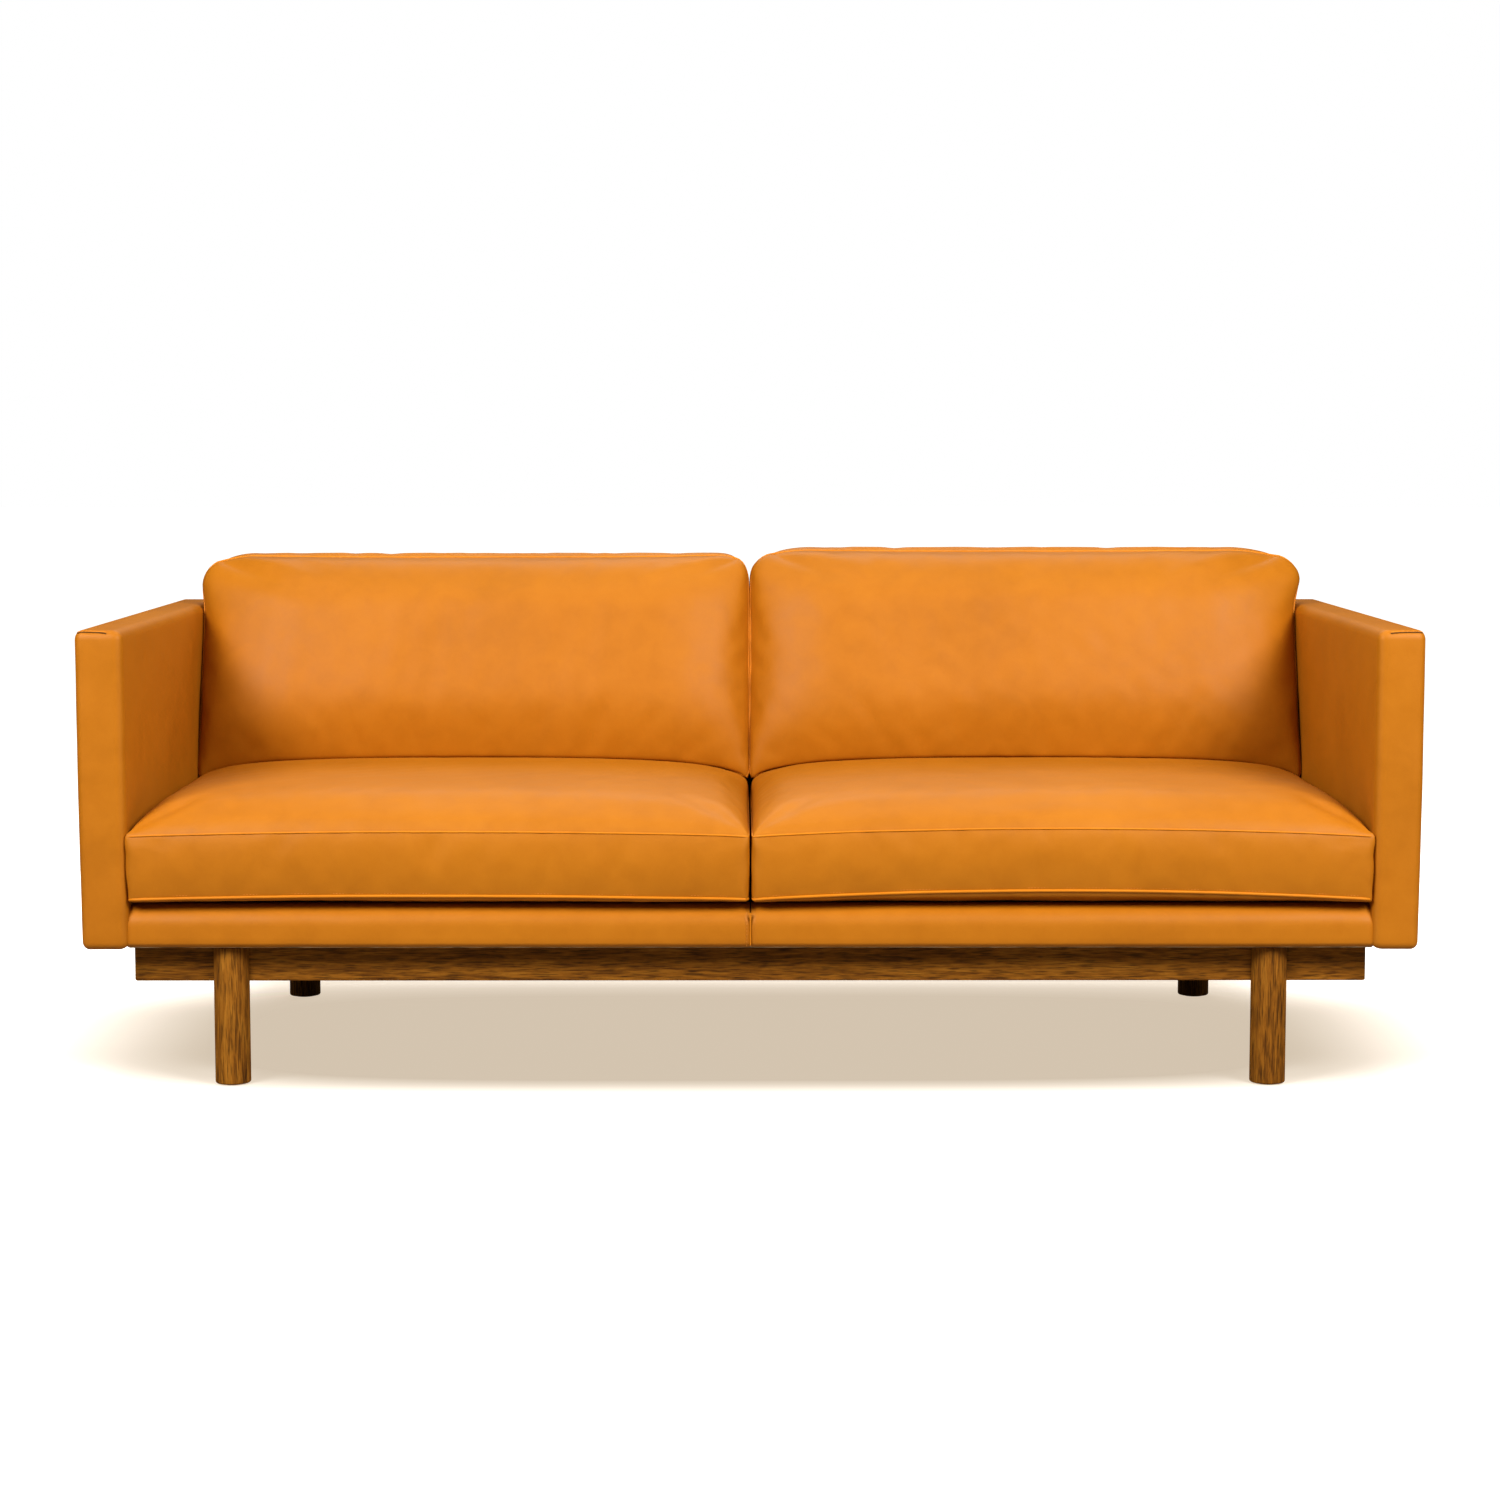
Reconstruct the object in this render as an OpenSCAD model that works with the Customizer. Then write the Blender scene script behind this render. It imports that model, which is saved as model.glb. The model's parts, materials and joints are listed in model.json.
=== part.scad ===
// Two-seat leather sofa on a timber plinth with four turned legs.
// The seat frame, arms and back are upholstered timber frames, bolted together and screwed to the
// plinth. The two seat cushions and the two back cushions are loose.
// Millimetres: X runs along the sofa, -Y is the front, +Z is up and the floor is at Z 0.
// Left and right are as seen from the front.

/* [Overall] */
// Width over both arms
sofa_w = 2100; // [1500:10:2800]
// Depth from the front of the arms to the outside of the back
sofa_d = 900; // [820:10:1150]
// Thickness of the leather
cover_t = 2; // [1.5:0.5:3]
// Clearance between parts that fit together
fit = 0.2; // [0.1:0.1:0.5]

/* [Legs] */
// Diameter of the turned legs
leg_d = 56; // [48:1:72]
// Floor to the underside of the plinth
leg_clear = 164; // [100:2:260]
// End of the plinth to the middle of a leg
leg_inset = 153; // [60:1:300]
// Chamfer round the foot of a leg
leg_chamfer = 2; // [1:0.5:5]
// Diameter of the felt glide
glide_d = 38; // [20:1:42]
// Thickness of the felt glide
glide_t = 4; // [3:0.5:8]
// Height of the glide that stands out of the leg
glide_proud = 1.5; // [1:0.5:2.5]

/* [Plinth] */
// Height of the plinth rails
plinth_h = 57; // [45:1:90]
// Thickness of the plinth rails
plinth_t = 30; // [22:1:40]
// Front of the arms to the front face of the plinth
plinth_setback = 54; // [50:1:120]
// Radius on the lower corners of the long rails
plinth_corner = 4; // [1:0.5:10]

/* [Seat frame] */
// Height of the upholstered base from its underside to the deck
base_h = 70; // [60:1:110]
// Front of the arms to the front of the base
base_setback = 4; // [0:0.5:20]
// Thickness of the seat frame rails
rail_t = 28; // [20:1:40]
// Foam over the front rail and the back
pad_t = 10; // [6:1:14]
// Depth of the leather along the front edge of the deck
front_wrap = 46; // [42:1:50]
// Radius of the upper front edge of the base
base_edge = 14; // [5:1:20]
// Thickness of the dust cover under the base
lining_t = 2; // [1:0.5:3]
// Leg length of the triangular corner blocks
block_leg = 60; // [40:1:90]
// Height of the corner blocks
block_h = 40; // [20:1:45]

/* [Webbing] */
// Width of a strap
strap_w = 60; // [40:1:80]
// Thickness of a strap
web_t = 3; // [2:0.5:4]
// Straps from front to back in each seat
straps_deep = 6; // [4:1:8]
// Straps from side to side
straps_wide = 5; // [4:1:7]
// Upright straps in each half of the back
straps_back = 6; // [4:1:8]

/* [Arms] */
// Thickness of an arm
arm_w = 75; // [65:1:130]
// Height of the arm at the front
arm_h = 720; // [600:5:820]
// Rise of the arm from the front to the back
arm_rise = 11; // [4:1:30]
// Radius of the upright front edges
arm_front_edge = 13; // [4:1:18]
// Radius of the upper long edges
arm_top_edge = 9; // [4:1:16]
// Radius of the lower outer edge
arm_foot_edge = 14; // [4:1:14]
// Width of the arm posts and rails
arm_post_w = 55; // [40:1:90]
// Foam over the boards of an arm
arm_pad_t = 14; // [5:1:14]
// Thickness of the boards on both faces of an arm frame
board_t = 3; // [2:0.5:6]

/* [Back] */
// Thickness of the back
back_t = 78; // [70:1:120]
// Radius of the upper long edges
back_edge = 12; // [4:1:18]
// Wadding under the outside back
wadding_t = 4; // [2:0.5:8]
// Width of the posts of the back
back_post_w = 45; // [35:1:80]
// Height of the top rail of the back
back_rail_h = 50; // [35:1:80]
// Height of the bottom rail of the back above the deck
back_rail_rise = 35; // [20:1:60]

/* [Seat cushions] */
// Height of the side strip between the two seams
boxing_h = 106; // [80:1:150]
// Deck to the lower seam
seam_lift = 10; // [4:1:25]
// Rise of the top panel above the upper seam
seat_crown = 55; // [20:1:80]
// Length over which the crown rises from the front seam
crown_run = 150; // [80:5:250]
// Length over which the crown rises from a side seam
crown_side = 120; // [60:5:200]
// Height of the top panel above the upper seam at the back
crown_rear = 9; // [0:1:20]
// Length over which the bottom panel falls from the lower seam
under_run = 20; // [10:1:60]
// Front of the back cushions to the end of the flat crown
crown_lead = 10; // [5:1:40]
// Gap around each seat cushion
seat_gap = 1; // [0.5:0.5:4]
// Gap behind the seat cushions
seat_rear_gap = 5; // [4:0.5:15]

/* [Back cushions] */
// Thickness of a back cushion
bolster_t = 155; // [110:1:190]
// Length of a back cushion up its front face
bolster_h = 429; // [360:1:520]
// Lean of the back cushions in degrees
bolster_lean = 18; // [10:0.5:24]
// Radius of the upper edges
bolster_edge = 45; // [20:1:50]
// Radius of the upper corners, seen from the front
bolster_corner = 50; // [20:1:80]
// Depth that the seat would take off the lower front edge of a back cushion
bolster_sink = 20; // [10:1:30]
// Gap beside, under and behind a back cushion
bolster_gap = 1.5; // [1:0.5:4]
// Foam core to the inside of the leather
core_gap = 8; // [4:1:15]

/* [Zips] */
// Length of a zip
zip_l = 700; // [300:10:700]
// Width of a zip
zip_w = 12; // [8:1:16]
// Height of a zip above the foot of a back cushion
zip_rise = 75; // [70:1:120]
// Length of a zip slider
slider_l = 14; // [8:1:20]
// Thickness of a zip slider
slider_t = 3; // [1:0.5:4]

/* [Fasteners] */
// Diameter of the leg, arm and back bolts
bolt_d = 8; // [6:1:10]
// Distance across the flats of a bolt head
bolt_head_w = 13; // [10:0.5:17]
// Height of a bolt head
bolt_head_h = 5; // [3:0.5:8]
// Distance from a leg bolt to the edge of the plinth
bolt_edge = 16; // [12:0.5:20]
// Length of the threaded insert in a leg
insert_l = 15; // [8:1:18]
// Wall of the threaded insert
insert_wall = 2; // [1:0.5:3]
// Depth of an arm or back bolt in the piece that it holds
bolt_bite = 38; // [20:1:40]
// Middle of the arm to its lower bolts
arm_bolt_y = 190; // [120:5:240]
// Deck to the upper arm bolt
arm_bolt_rise = 310; // [100:5:330]
// End of the seat frame to the first back bolt
back_bolt_end = 240; // [120:5:300]
// Diameter of the plinth screws
screw_d = 6; // [4:0.5:8]
// Length of a plinth screw under its head
screw_l = 55; // [45:1:60]
// Diameter of a plinth screw head
screw_head_d = 12; // [9:0.5:14]
// Height of a plinth screw head
screw_head_h = 4; // [2:0.5:6]
// Wood left above the screw pocket
screw_land = 30; // [20:1:35]
// Last plinth screw to the long rail
screw_end = 80; // [30:5:150]

/* [Hidden] */
$fn = 64;

LEFT = -1;
RIGHT = 1;
FRONT = -1;
REAR = 1;

leather = [0.82, 0.48, 0.15];
timber = [0.46, 0.30, 0.13];
pale_timber = [0.80, 0.66, 0.45];
foam = [0.93, 0.89, 0.74];
strap_colour = [0.25, 0.24, 0.22];
steel = [0.70, 0.71, 0.73];
felt = [0.20, 0.18, 0.16];
zip_colour = [0.55, 0.33, 0.12];

// Cuts run this far past a face
over = 1;

// Overall planes
half_w = sofa_w / 2;
in_x = half_w - arm_w;
front_y = -sofa_d / 2;
rear_y = sofa_d / 2;

// Plinth and legs
base_z = leg_clear + plinth_h;
lap_y = rear_y - plinth_setback;
leg_x = in_x - leg_inset;
leg_bolt_zs = [leg_clear + bolt_edge, base_z - bolt_edge];
insert_d = bolt_d + 2 * fit + 2 * insert_wall;
screw_x = in_x - rail_t / 2;
screw_y = lap_y - plinth_t - screw_end;
screw_top = base_z - screw_land + screw_l;

// Seat frame
frame_z = base_z + max(cover_t, lining_t);
deck_z = base_z + base_h;
rail_top = deck_z - cover_t - pad_t - web_t;
base_y = front_y + base_setback;
rail_y = base_y + cover_t + pad_t;
deck_y = base_y + front_wrap;

// Back
back_face_y = rear_y - back_t;
back_top_z = arm_h + arm_rise;
back_frame_y0 = back_face_y + cover_t + pad_t + web_t;
back_frame_y1 = rear_y - cover_t - wadding_t;
back_frame_top = back_top_z - cover_t - pad_t;
back_frame_mid = (back_frame_y0 + back_frame_y1) / 2;
back_rail_top = deck_z + back_rail_rise;
tuck = 1;
bolt_z = (frame_z + rail_top) / 2;

// Arms
arm_skin = cover_t + arm_pad_t;
arm_frame_x0 = in_x + arm_skin;
arm_frame_x1 = half_w - arm_skin;
arm_frame_y0 = front_y + arm_skin;
arm_frame_y1 = rear_y - arm_skin;
arm_frame_top = arm_h - arm_skin;
arm_slope = atan(arm_rise / sofa_d);

// Seat cushions
seat_x0 = seat_gap;
seat_x1 = in_x - seat_gap;
seat_y1 = back_face_y - seat_rear_gap;
seat_z0 = deck_z + seat_gap;
seam_low = deck_z + seam_lift;
seam_high = seam_low + boxing_h;
crown_z = seam_high + seat_crown;
crown_steps = 10;

// Back cushions
bolster_z = crown_z - bolster_sink;
lean_rise = (back_top_z - bolster_z) * tan(bolster_lean);
bolster_y = back_face_y - bolster_gap - bolster_t / cos(bolster_lean) - lean_rise;
crown_end = bolster_y - crown_lead;
bolster_x1 = in_x - bolster_gap;

// ---- Helpers ----

// A flat outline in Y and Z, run along X
module along_x(x0, x1) {
    translate([x0, 0, 0])
        rotate([90, 0, 90])
            linear_extrude(height = x1 - x0)
                children();
}

// A flat outline in X and Z, run along Y
module along_y(y0, y1) {
    translate([0, y1, 0])
        rotate([90, 0, 0])
            linear_extrude(height = y1 - y0)
                children();
}

// A flat outline in X and Y, run up Z
module along_z(z0, z1) {
    translate([0, 0, z0])
        linear_extrude(height = z1 - z0)
            children();
}

// A block between two corners
module block(low, high) {
    translate(low)
        cube(high - low);
}

// A rectangle whose corners have radii r = [low left, low right, high right, high left]
module soft_rect(low, high, r) {
    at = [low, [high[0], low[1]], high, [low[0], high[1]]];
    out = [[-1, -1], [1, -1], [1, 1], [-1, 1]];
    difference() {
        translate(low)
            square(high - low);
        for (i = [0 : 3])
            if (r[i] > 0)
                translate(at[i] - r[i] * out[i])
                    difference() {
                        translate([min(0, out[i][0] * (r[i] + over)), min(0, out[i][1] * (r[i] + over))])
                            square(r[i] + over);
                        circle(r[i]);
                    }
    }
}

// Right-hand pieces as drawn, left-hand pieces mirrored
module on_side(side) {
    if (side == LEFT)
        mirror([1, 0, 0]) children();
    else
        children();
}

// Evenly spaced middles of n straps between two edges
function strap_at(i, n, from, to) = from + (to - from) * (i + 0.5) / n;

// A bolt lying along +Z, its head below the origin
module bolt(length) {
    translate([0, 0, -bolt_head_h])
        cylinder(h = bolt_head_h, d = bolt_head_w / cos(30), $fn = 6);
    cylinder(h = length, d = bolt_d);
}

module bolt_bore(length) {
    translate([0, 0, -over])
        cylinder(h = length + 2 * over, d = bolt_d + 2 * fit);
}

// ---- Legs and plinth ----

module leg(side, end) {
    color(timber)
        translate([side * leg_x, end * lap_y, 0])
            difference() {
                rotate_extrude()
                    polygon([
                        [0, glide_proud],
                        [leg_d / 2 - leg_chamfer, glide_proud],
                        [leg_d / 2, glide_proud + leg_chamfer],
                        [leg_d / 2, base_z],
                        [0, base_z]
                    ]);
                translate([-leg_d, end == REAR ? -leg_d : 0, leg_clear])
                    cube([2 * leg_d, leg_d, plinth_h + over]);
                cylinder(h = glide_t, d = glide_d + 2 * fit);
                for (z = leg_bolt_zs)
                    translate([0, 0, z])
                        rotate([-90 * end, 0, 0])
                            translate([0, 0, -over])
                                cylinder(h = insert_l + over + fit, d = insert_d + 2 * fit);
            }
}

// Repeats its children at every leg bolt, with +Z running from the plinth into the leg
module at_leg_bolts() {
    for (side = [LEFT, RIGHT], end = [FRONT, REAR], z = leg_bolt_zs)
        translate([side * leg_x, end * lap_y, z])
            rotate([-90 * end, 0, 0])
                children();
}

module leg_bolts() {
    color(steel)
        at_leg_bolts()
            translate([0, 0, -plinth_t])
                bolt(plinth_t + insert_l);
}

module leg_inserts() {
    color(steel)
        at_leg_bolts()
            difference() {
                cylinder(h = insert_l, d = insert_d);
                bolt_bore(insert_l);
            }
}

module leg_glides() {
    color(felt)
        for (side = [LEFT, RIGHT], end = [FRONT, REAR])
            translate([side * leg_x, end * lap_y, 0])
                cylinder(h = glide_t, d = glide_d);
}

module plinth_long_rail(end) {
    y0 = end == FRONT ? -lap_y : lap_y - plinth_t;
    color(timber)
        difference() {
            along_y(y0, y0 + plinth_t)
                soft_rect([-in_x, leg_clear], [in_x, base_z], [plinth_corner, plinth_corner, 0, 0]);
            for (side = [LEFT, RIGHT], z = leg_bolt_zs)
                translate([side * leg_x, y0, z])
                    rotate([-90, 0, 0])
                        bolt_bore(plinth_t);
        }
}

// Repeats its children at the three plinth screws in the rail at x
module at_screws(x) {
    for (y = [-screw_y, 0, screw_y])
        translate([x, y, 0])
            children();
}

module plinth_cross_rail(x0, x1, screws_x) {
    color(timber)
        difference() {
            block([x0, -lap_y + plinth_t, leg_clear], [x1, lap_y - plinth_t, base_z]);
            at_screws(screws_x) {
                translate([0, 0, leg_clear - over])
                    cylinder(h = plinth_h - screw_land + over, d = screw_head_d + 2);
                translate([0, 0, leg_clear])
                    cylinder(h = plinth_h + over, d = screw_d + 2 * fit);
            }
        }
}

module plinth_side_rail(side) {
    on_side(side)
        plinth_cross_rail(in_x - plinth_t, in_x, screw_x);
}

module plinth_screws() {
    color(steel)
        for (x = [-screw_x, 0, screw_x])
            at_screws(x) {
                translate([0, 0, base_z - screw_land - screw_head_h])
                    cylinder(h = screw_head_h, d = screw_head_d);
                translate([0, 0, base_z - screw_land])
                    cylinder(h = screw_l, d = screw_d);
            }
}

module screw_bores(x) {
    at_screws(x)
        translate([0, 0, base_z - over])
            cylinder(h = screw_top - base_z + 2 * over, d = screw_d + 2 * fit);
}

// ---- Seat frame ----

module seat_front_rail() {
    color(pale_timber)
        block([-in_x, rail_y, frame_z], [in_x, rail_y + rail_t, rail_top]);
}

module seat_back_rail() {
    color(pale_timber)
        difference() {
            block([-in_x, back_frame_y0 - rail_t, frame_z], [in_x, back_frame_y0, rail_top]);
            at_back_bolts()
                bolt_bore(rail_t);
        }
}

// A rail from front to back, lower than the long rails by one strap
module seat_cross_rail(x0, x1, screws_x) {
    color(pale_timber)
        difference() {
            block(
                [x0, rail_y + rail_t, frame_z],
                [x1, back_frame_y0 - rail_t, rail_top - web_t]
            );
            screw_bores(screws_x);
        }
}

module seat_side_rail(side) {
    on_side(side)
        difference() {
            seat_cross_rail(in_x - rail_t, in_x, screw_x);
            color(pale_timber)
                at_low_arm_bolts()
                    bolt_bore(rail_t);
        }
}

module seat_corner_blocks() {
    inner = in_x - rail_t;
    color(pale_timber)
        for (side = [LEFT, RIGHT])
            on_side(side)
                for (end = [FRONT, REAR]) {
                    corner_y = end == FRONT ? rail_y + rail_t : back_frame_y0 - rail_t;
                    along_z(frame_z, min(frame_z + block_h, rail_top - web_t))
                        polygon([
                            [inner, corner_y],
                            [inner - block_leg, corner_y],
                            [inner, corner_y - end * block_leg]
                        ]);
                }
}

module seat_webbing() {
    bed = in_x - rail_t;
    color(strap_colour) {
        for (side = [LEFT, RIGHT], i = [0 : straps_deep - 1]) {
            x = side * strap_at(i, straps_deep, rail_t / 2, bed);
            block(
                [x - strap_w / 2, rail_y + web_t, rail_top],
                [x + strap_w / 2, back_frame_y0 - web_t, rail_top + web_t]
            );
        }
        for (i = [0 : straps_wide - 1]) {
            y = strap_at(i, straps_wide, rail_y + rail_t, back_frame_y0 - rail_t);
            block(
                [-in_x + web_t, y - strap_w / 2, rail_top - web_t],
                [in_x - web_t, y + strap_w / 2, rail_top]
            );
        }
    }
}

module deck_pad() {
    color(foam)
        block([-in_x, deck_y, rail_top + web_t], [in_x, back_face_y, deck_z]);
}

module dust_cover() {
    color(strap_colour)
        difference() {
            block([-in_x, deck_y, frame_z - lining_t], [in_x, back_frame_y1, frame_z]);
            for (x = [-screw_x, 0, screw_x])
                screw_bores(x);
        }
}

// The outline of the front edge of the base, set in from the outside of the leather
module base_outline(inset, back_y) {
    soft_rect(
        [base_y + inset, base_z + inset],
        [back_y, deck_z - inset],
        [0, 0, 0, base_edge - inset]
    );
}

module base_front_pad() {
    color(foam)
        along_x(-in_x, in_x)
            difference() {
                base_outline(cover_t, deck_y);
                translate([rail_y, base_z])
                    square([front_wrap, rail_top + web_t - base_z]);
            }
}

module base_cover(side) {
    color(leather)
        on_side(side)
            along_x(0, in_x)
                difference() {
                    base_outline(0, deck_y);
                    base_outline(cover_t, deck_y + over);
                }
}

// ---- Arms ----

// The outside of the right arm, set in by a layer
module arm_form(inset) {
    low = [in_x + inset, front_y + inset];
    high = [half_w - inset, rear_y - inset];
    front_r = arm_front_edge - inset;
    rear_r = arm_top_edge - inset;
    top_r = arm_top_edge - inset;
    intersection() {
        along_z(base_z + inset, back_top_z + over)
            soft_rect(low, high, [front_r, front_r, rear_r, rear_r]);
        along_y(front_y, rear_y)
            soft_rect(
                [low[0] - over, base_z + inset],
                [high[0], back_top_z + over],
                [0, arm_foot_edge - inset, 0, 0]
            );
        translate([0, front_y, arm_h - inset])
            rotate([arm_slope, 0, 0])
                along_y(-back_top_z, 2 * sofa_d)
                    soft_rect([low[0], -2 * back_top_z], [high[0], 0], [0, 0, top_r, top_r]);
    }
}

// The room for the timber inside the right arm
module arm_room() {
    block(
        [arm_frame_x0, arm_frame_y0, base_z - over],
        [arm_frame_x1, arm_frame_y1, arm_frame_top]
    );
}

// A piece of timber between the boards of the right arm
module arm_timber(y0, y1, z0, z1) {
    color(pale_timber)
        difference() {
            block([arm_frame_x0 + board_t, y0, z0], [arm_frame_x1 - board_t, y1, z1]);
            arm_bolt_bores();
        }
}

module arm_front_post(side) {
    on_side(side)
        arm_timber(arm_frame_y0, arm_frame_y0 + arm_post_w, frame_z, arm_frame_top);
}

module arm_back_post(side) {
    on_side(side)
        arm_timber(arm_frame_y1 - arm_post_w, arm_frame_y1, frame_z, arm_frame_top);
}

module arm_rail(side, z0, z1) {
    on_side(side)
        arm_timber(arm_frame_y0 + arm_post_w, arm_frame_y1 - arm_post_w, z0, z1);
}

module arm_top_rail(side) {
    arm_rail(side, arm_frame_top - arm_post_w, arm_frame_top);
}

module arm_bottom_rail(side) {
    arm_rail(side, frame_z, frame_z + arm_post_w);
}

module arm_boards() {
    color(timber)
        for (side = [LEFT, RIGHT], x = [arm_frame_x0, arm_frame_x1 - board_t])
            on_side(side)
                difference() {
                    block(
                        [x, arm_frame_y0, frame_z],
                        [x + board_t, arm_frame_y1, arm_frame_top]
                    );
                    arm_bolt_bores();
                }
}

module arm_pad(side) {
    color(foam)
        on_side(side)
            difference() {
                arm_form(cover_t);
                arm_room();
                arm_bolt_bores();
            }
}

module arm_cover(side) {
    color(leather)
        on_side(side)
            difference() {
                arm_form(0);
                arm_form(cover_t);
                arm_room();
                arm_bolt_bores();
            }
}

// Repeats its children at the two lower bolts of the right arm, with +Z running into the arm
module at_low_arm_bolts() {
    for (y = [-arm_bolt_y, arm_bolt_y])
        translate([in_x - rail_t, y, bolt_z])
            rotate([0, 90, 0])
                children();
}

// The same for the bolt from the post of the back into the right arm
module at_high_arm_bolt() {
    translate([in_x - back_post_w, back_frame_mid, deck_z + arm_bolt_rise])
        rotate([0, 90, 0])
            children();
}

module arm_bolt_bores() {
    at_low_arm_bolts()
        bolt_bore(rail_t + arm_skin + bolt_bite);
    at_high_arm_bolt()
        bolt_bore(back_post_w + arm_skin + bolt_bite);
}

module arm_bolts() {
    color(steel)
        for (side = [LEFT, RIGHT])
            on_side(side) {
                at_low_arm_bolts()
                    bolt(rail_t + arm_skin + bolt_bite);
                at_high_arm_bolt()
                    bolt(back_post_w + arm_skin + bolt_bite);
            }
}

// ---- Back ----

module back_posts() {
    color(pale_timber) {
        for (side = [LEFT, RIGHT])
            on_side(side)
                difference() {
                    block(
                        [in_x - back_post_w, back_frame_y0, frame_z],
                        [in_x, back_frame_y1, back_frame_top]
                    );
                    at_high_arm_bolt()
                        bolt_bore(back_post_w);
                }
        block(
            [-back_post_w / 2, back_frame_y0, back_rail_top],
            [back_post_w / 2, back_frame_y1, back_frame_top - back_rail_h]
        );
    }
}

module back_rail(z0, z1) {
    reach = in_x - back_post_w;
    color(pale_timber)
        difference() {
            block([-reach, back_frame_y0, z0], [reach, back_frame_y1, z1]);
            at_back_bolts()
                bolt_bore(rail_t + bolt_bite);
        }
}

module back_top_rail() {
    back_rail(back_frame_top - back_rail_h, back_frame_top);
}

module back_bottom_rail() {
    back_rail(frame_z, back_rail_top);
}

module back_webbing() {
    color(strap_colour)
        for (side = [LEFT, RIGHT], i = [0 : straps_back - 1]) {
            x = side * strap_at(i, straps_back, back_post_w / 2, in_x - back_post_w);
            block(
                [x - strap_w / 2, back_frame_y0 - web_t, deck_z + tuck],
                [x + strap_w / 2, back_frame_y0, back_frame_top]
            );
        }
}

// The outline of the back, set in from the outside of the leather
module back_outline(inset, low_z) {
    r = back_edge - inset;
    soft_rect([back_face_y + inset, low_z], [rear_y - inset, back_top_z - inset], [0, 0, r, r]);
}

// The part of the front of the back that is below the deck
module below_deck() {
    translate([back_face_y - over, base_z - over])
        square([back_frame_y0 - back_face_y + over, base_h + tuck + over]);
}

module back_pad() {
    color(foam)
        along_x(-in_x, in_x)
            difference() {
                back_outline(cover_t, frame_z);
                translate([back_frame_y0 - web_t, base_z])
                    square([back_frame_y1 - back_frame_y0 + web_t, back_frame_top - base_z]);
                below_deck();
            }
}

// The leather of the outside back, which ends under the rounded top edge
module outside_back() {
    translate([rear_y - back_edge, base_z - over])
        square([back_edge + over, back_top_z - back_edge - base_z + over]);
}

module back_leather() {
    difference() {
        back_outline(0, base_z);
        back_outline(cover_t, base_z - over);
        below_deck();
    }
}

module back_inner_cover() {
    color(leather)
        along_x(-in_x, in_x)
            difference() {
                back_leather();
                outside_back();
            }
}

module back_outer_cover() {
    color(leather)
        along_x(-in_x, in_x)
            intersection() {
                back_leather();
                outside_back();
            }
}

// Repeats its children at the back bolts, with +Z running from the seat frame into the back
module at_back_bolts() {
    first = in_x - back_bolt_end;
    for (i = [0 : 3])
        translate([first * (2 * i / 3 - 1), back_frame_y0 - rail_t, bolt_z])
            rotate([-90, 0, 0])
                children();
}

module back_bolts() {
    color(steel)
        at_back_bolts()
            bolt(rail_t + bolt_bite);
}

// ---- Seat cushions ----

// Height of a crown that rises over run: t from 0 to 1
function crown(t) = sin(90 * t);

// The side outline of a seat cushion, set in by a layer
module seat_section(inset) {
    y0 = front_y + inset;
    y1 = seat_y1 - inset;
    z0 = seat_z0 + inset;
    polygon(concat(
        [[y0 + under_run, z0], [y0, seam_low + inset]],
        [for (i = [0 : crown_steps])
            [
                y0 + crown_run * i / crown_steps,
                seam_high - inset + seat_crown * crown(i / crown_steps)
            ]],
        [
            [crown_end, crown_z - inset],
            [y1, seam_high + crown_rear - inset],
            [y1, seam_low + inset],
            [y1 - under_run, z0]
        ]
    ));
}

// The front outline of the right seat cushion, set in by a layer
module seat_front(inset) {
    x0 = seat_x0 + inset;
    x1 = seat_x1 - inset;
    z0 = seat_z0 + inset;
    top = seam_high - inset;
    polygon(concat(
        [[x0 + under_run, z0], [x0, seam_low + inset]],
        [for (i = [0 : crown_steps])
            [x0 + crown_side * i / crown_steps, top + seat_crown * crown(i / crown_steps)]],
        [for (i = [crown_steps : -1 : 0])
            [x1 - crown_side * i / crown_steps, top + seat_crown * crown(i / crown_steps)]],
        [[x1, seam_low + inset], [x1 - under_run, z0]]
    ));
}

module seat_form(inset) {
    intersection() {
        along_x(seat_x0 + inset, seat_x1 - inset)
            seat_section(inset);
        along_y(front_y, seat_y1)
            seat_front(inset);
    }
}

// The zip strip in the back of the right seat cushion, fat enough on both faces
module seat_zip_strip(extra) {
    mid = (seat_x0 + seat_x1) / 2;
    z = (seam_low + seam_high) / 2;
    block(
        [mid - zip_l / 2, seat_y1 - cover_t - extra, z - zip_w / 2],
        [mid + zip_l / 2, seat_y1 + extra, z + zip_w / 2]
    );
}

module seat_cushion_cover(side) {
    color(leather)
        on_side(side)
            difference() {
                seat_form(0);
                seat_form(cover_t);
                seat_zip_strip(over);
            }
}

module seat_cushion_core(side) {
    color(foam)
        on_side(side)
            seat_form(cover_t + core_gap);
}

module seat_cushion_zip(side) {
    end = (seat_x0 + seat_x1 - zip_l) / 2;
    z = (seam_low + seam_high) / 2;
    color(zip_colour)
        on_side(side) {
            seat_zip_strip(0);
            block(
                [end + slider_l, seat_y1, z - zip_w / 3],
                [end + 2 * slider_l, seat_y1 + slider_t, z + zip_w / 3]
            );
        }
}

// ---- Back cushions ----

// Moves a back cushion from upright at the origin to its leaning place
module leaning() {
    translate([0, bolster_y, bolster_z])
        rotate([-bolster_lean, 0, 0])
            children();
}

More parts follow.
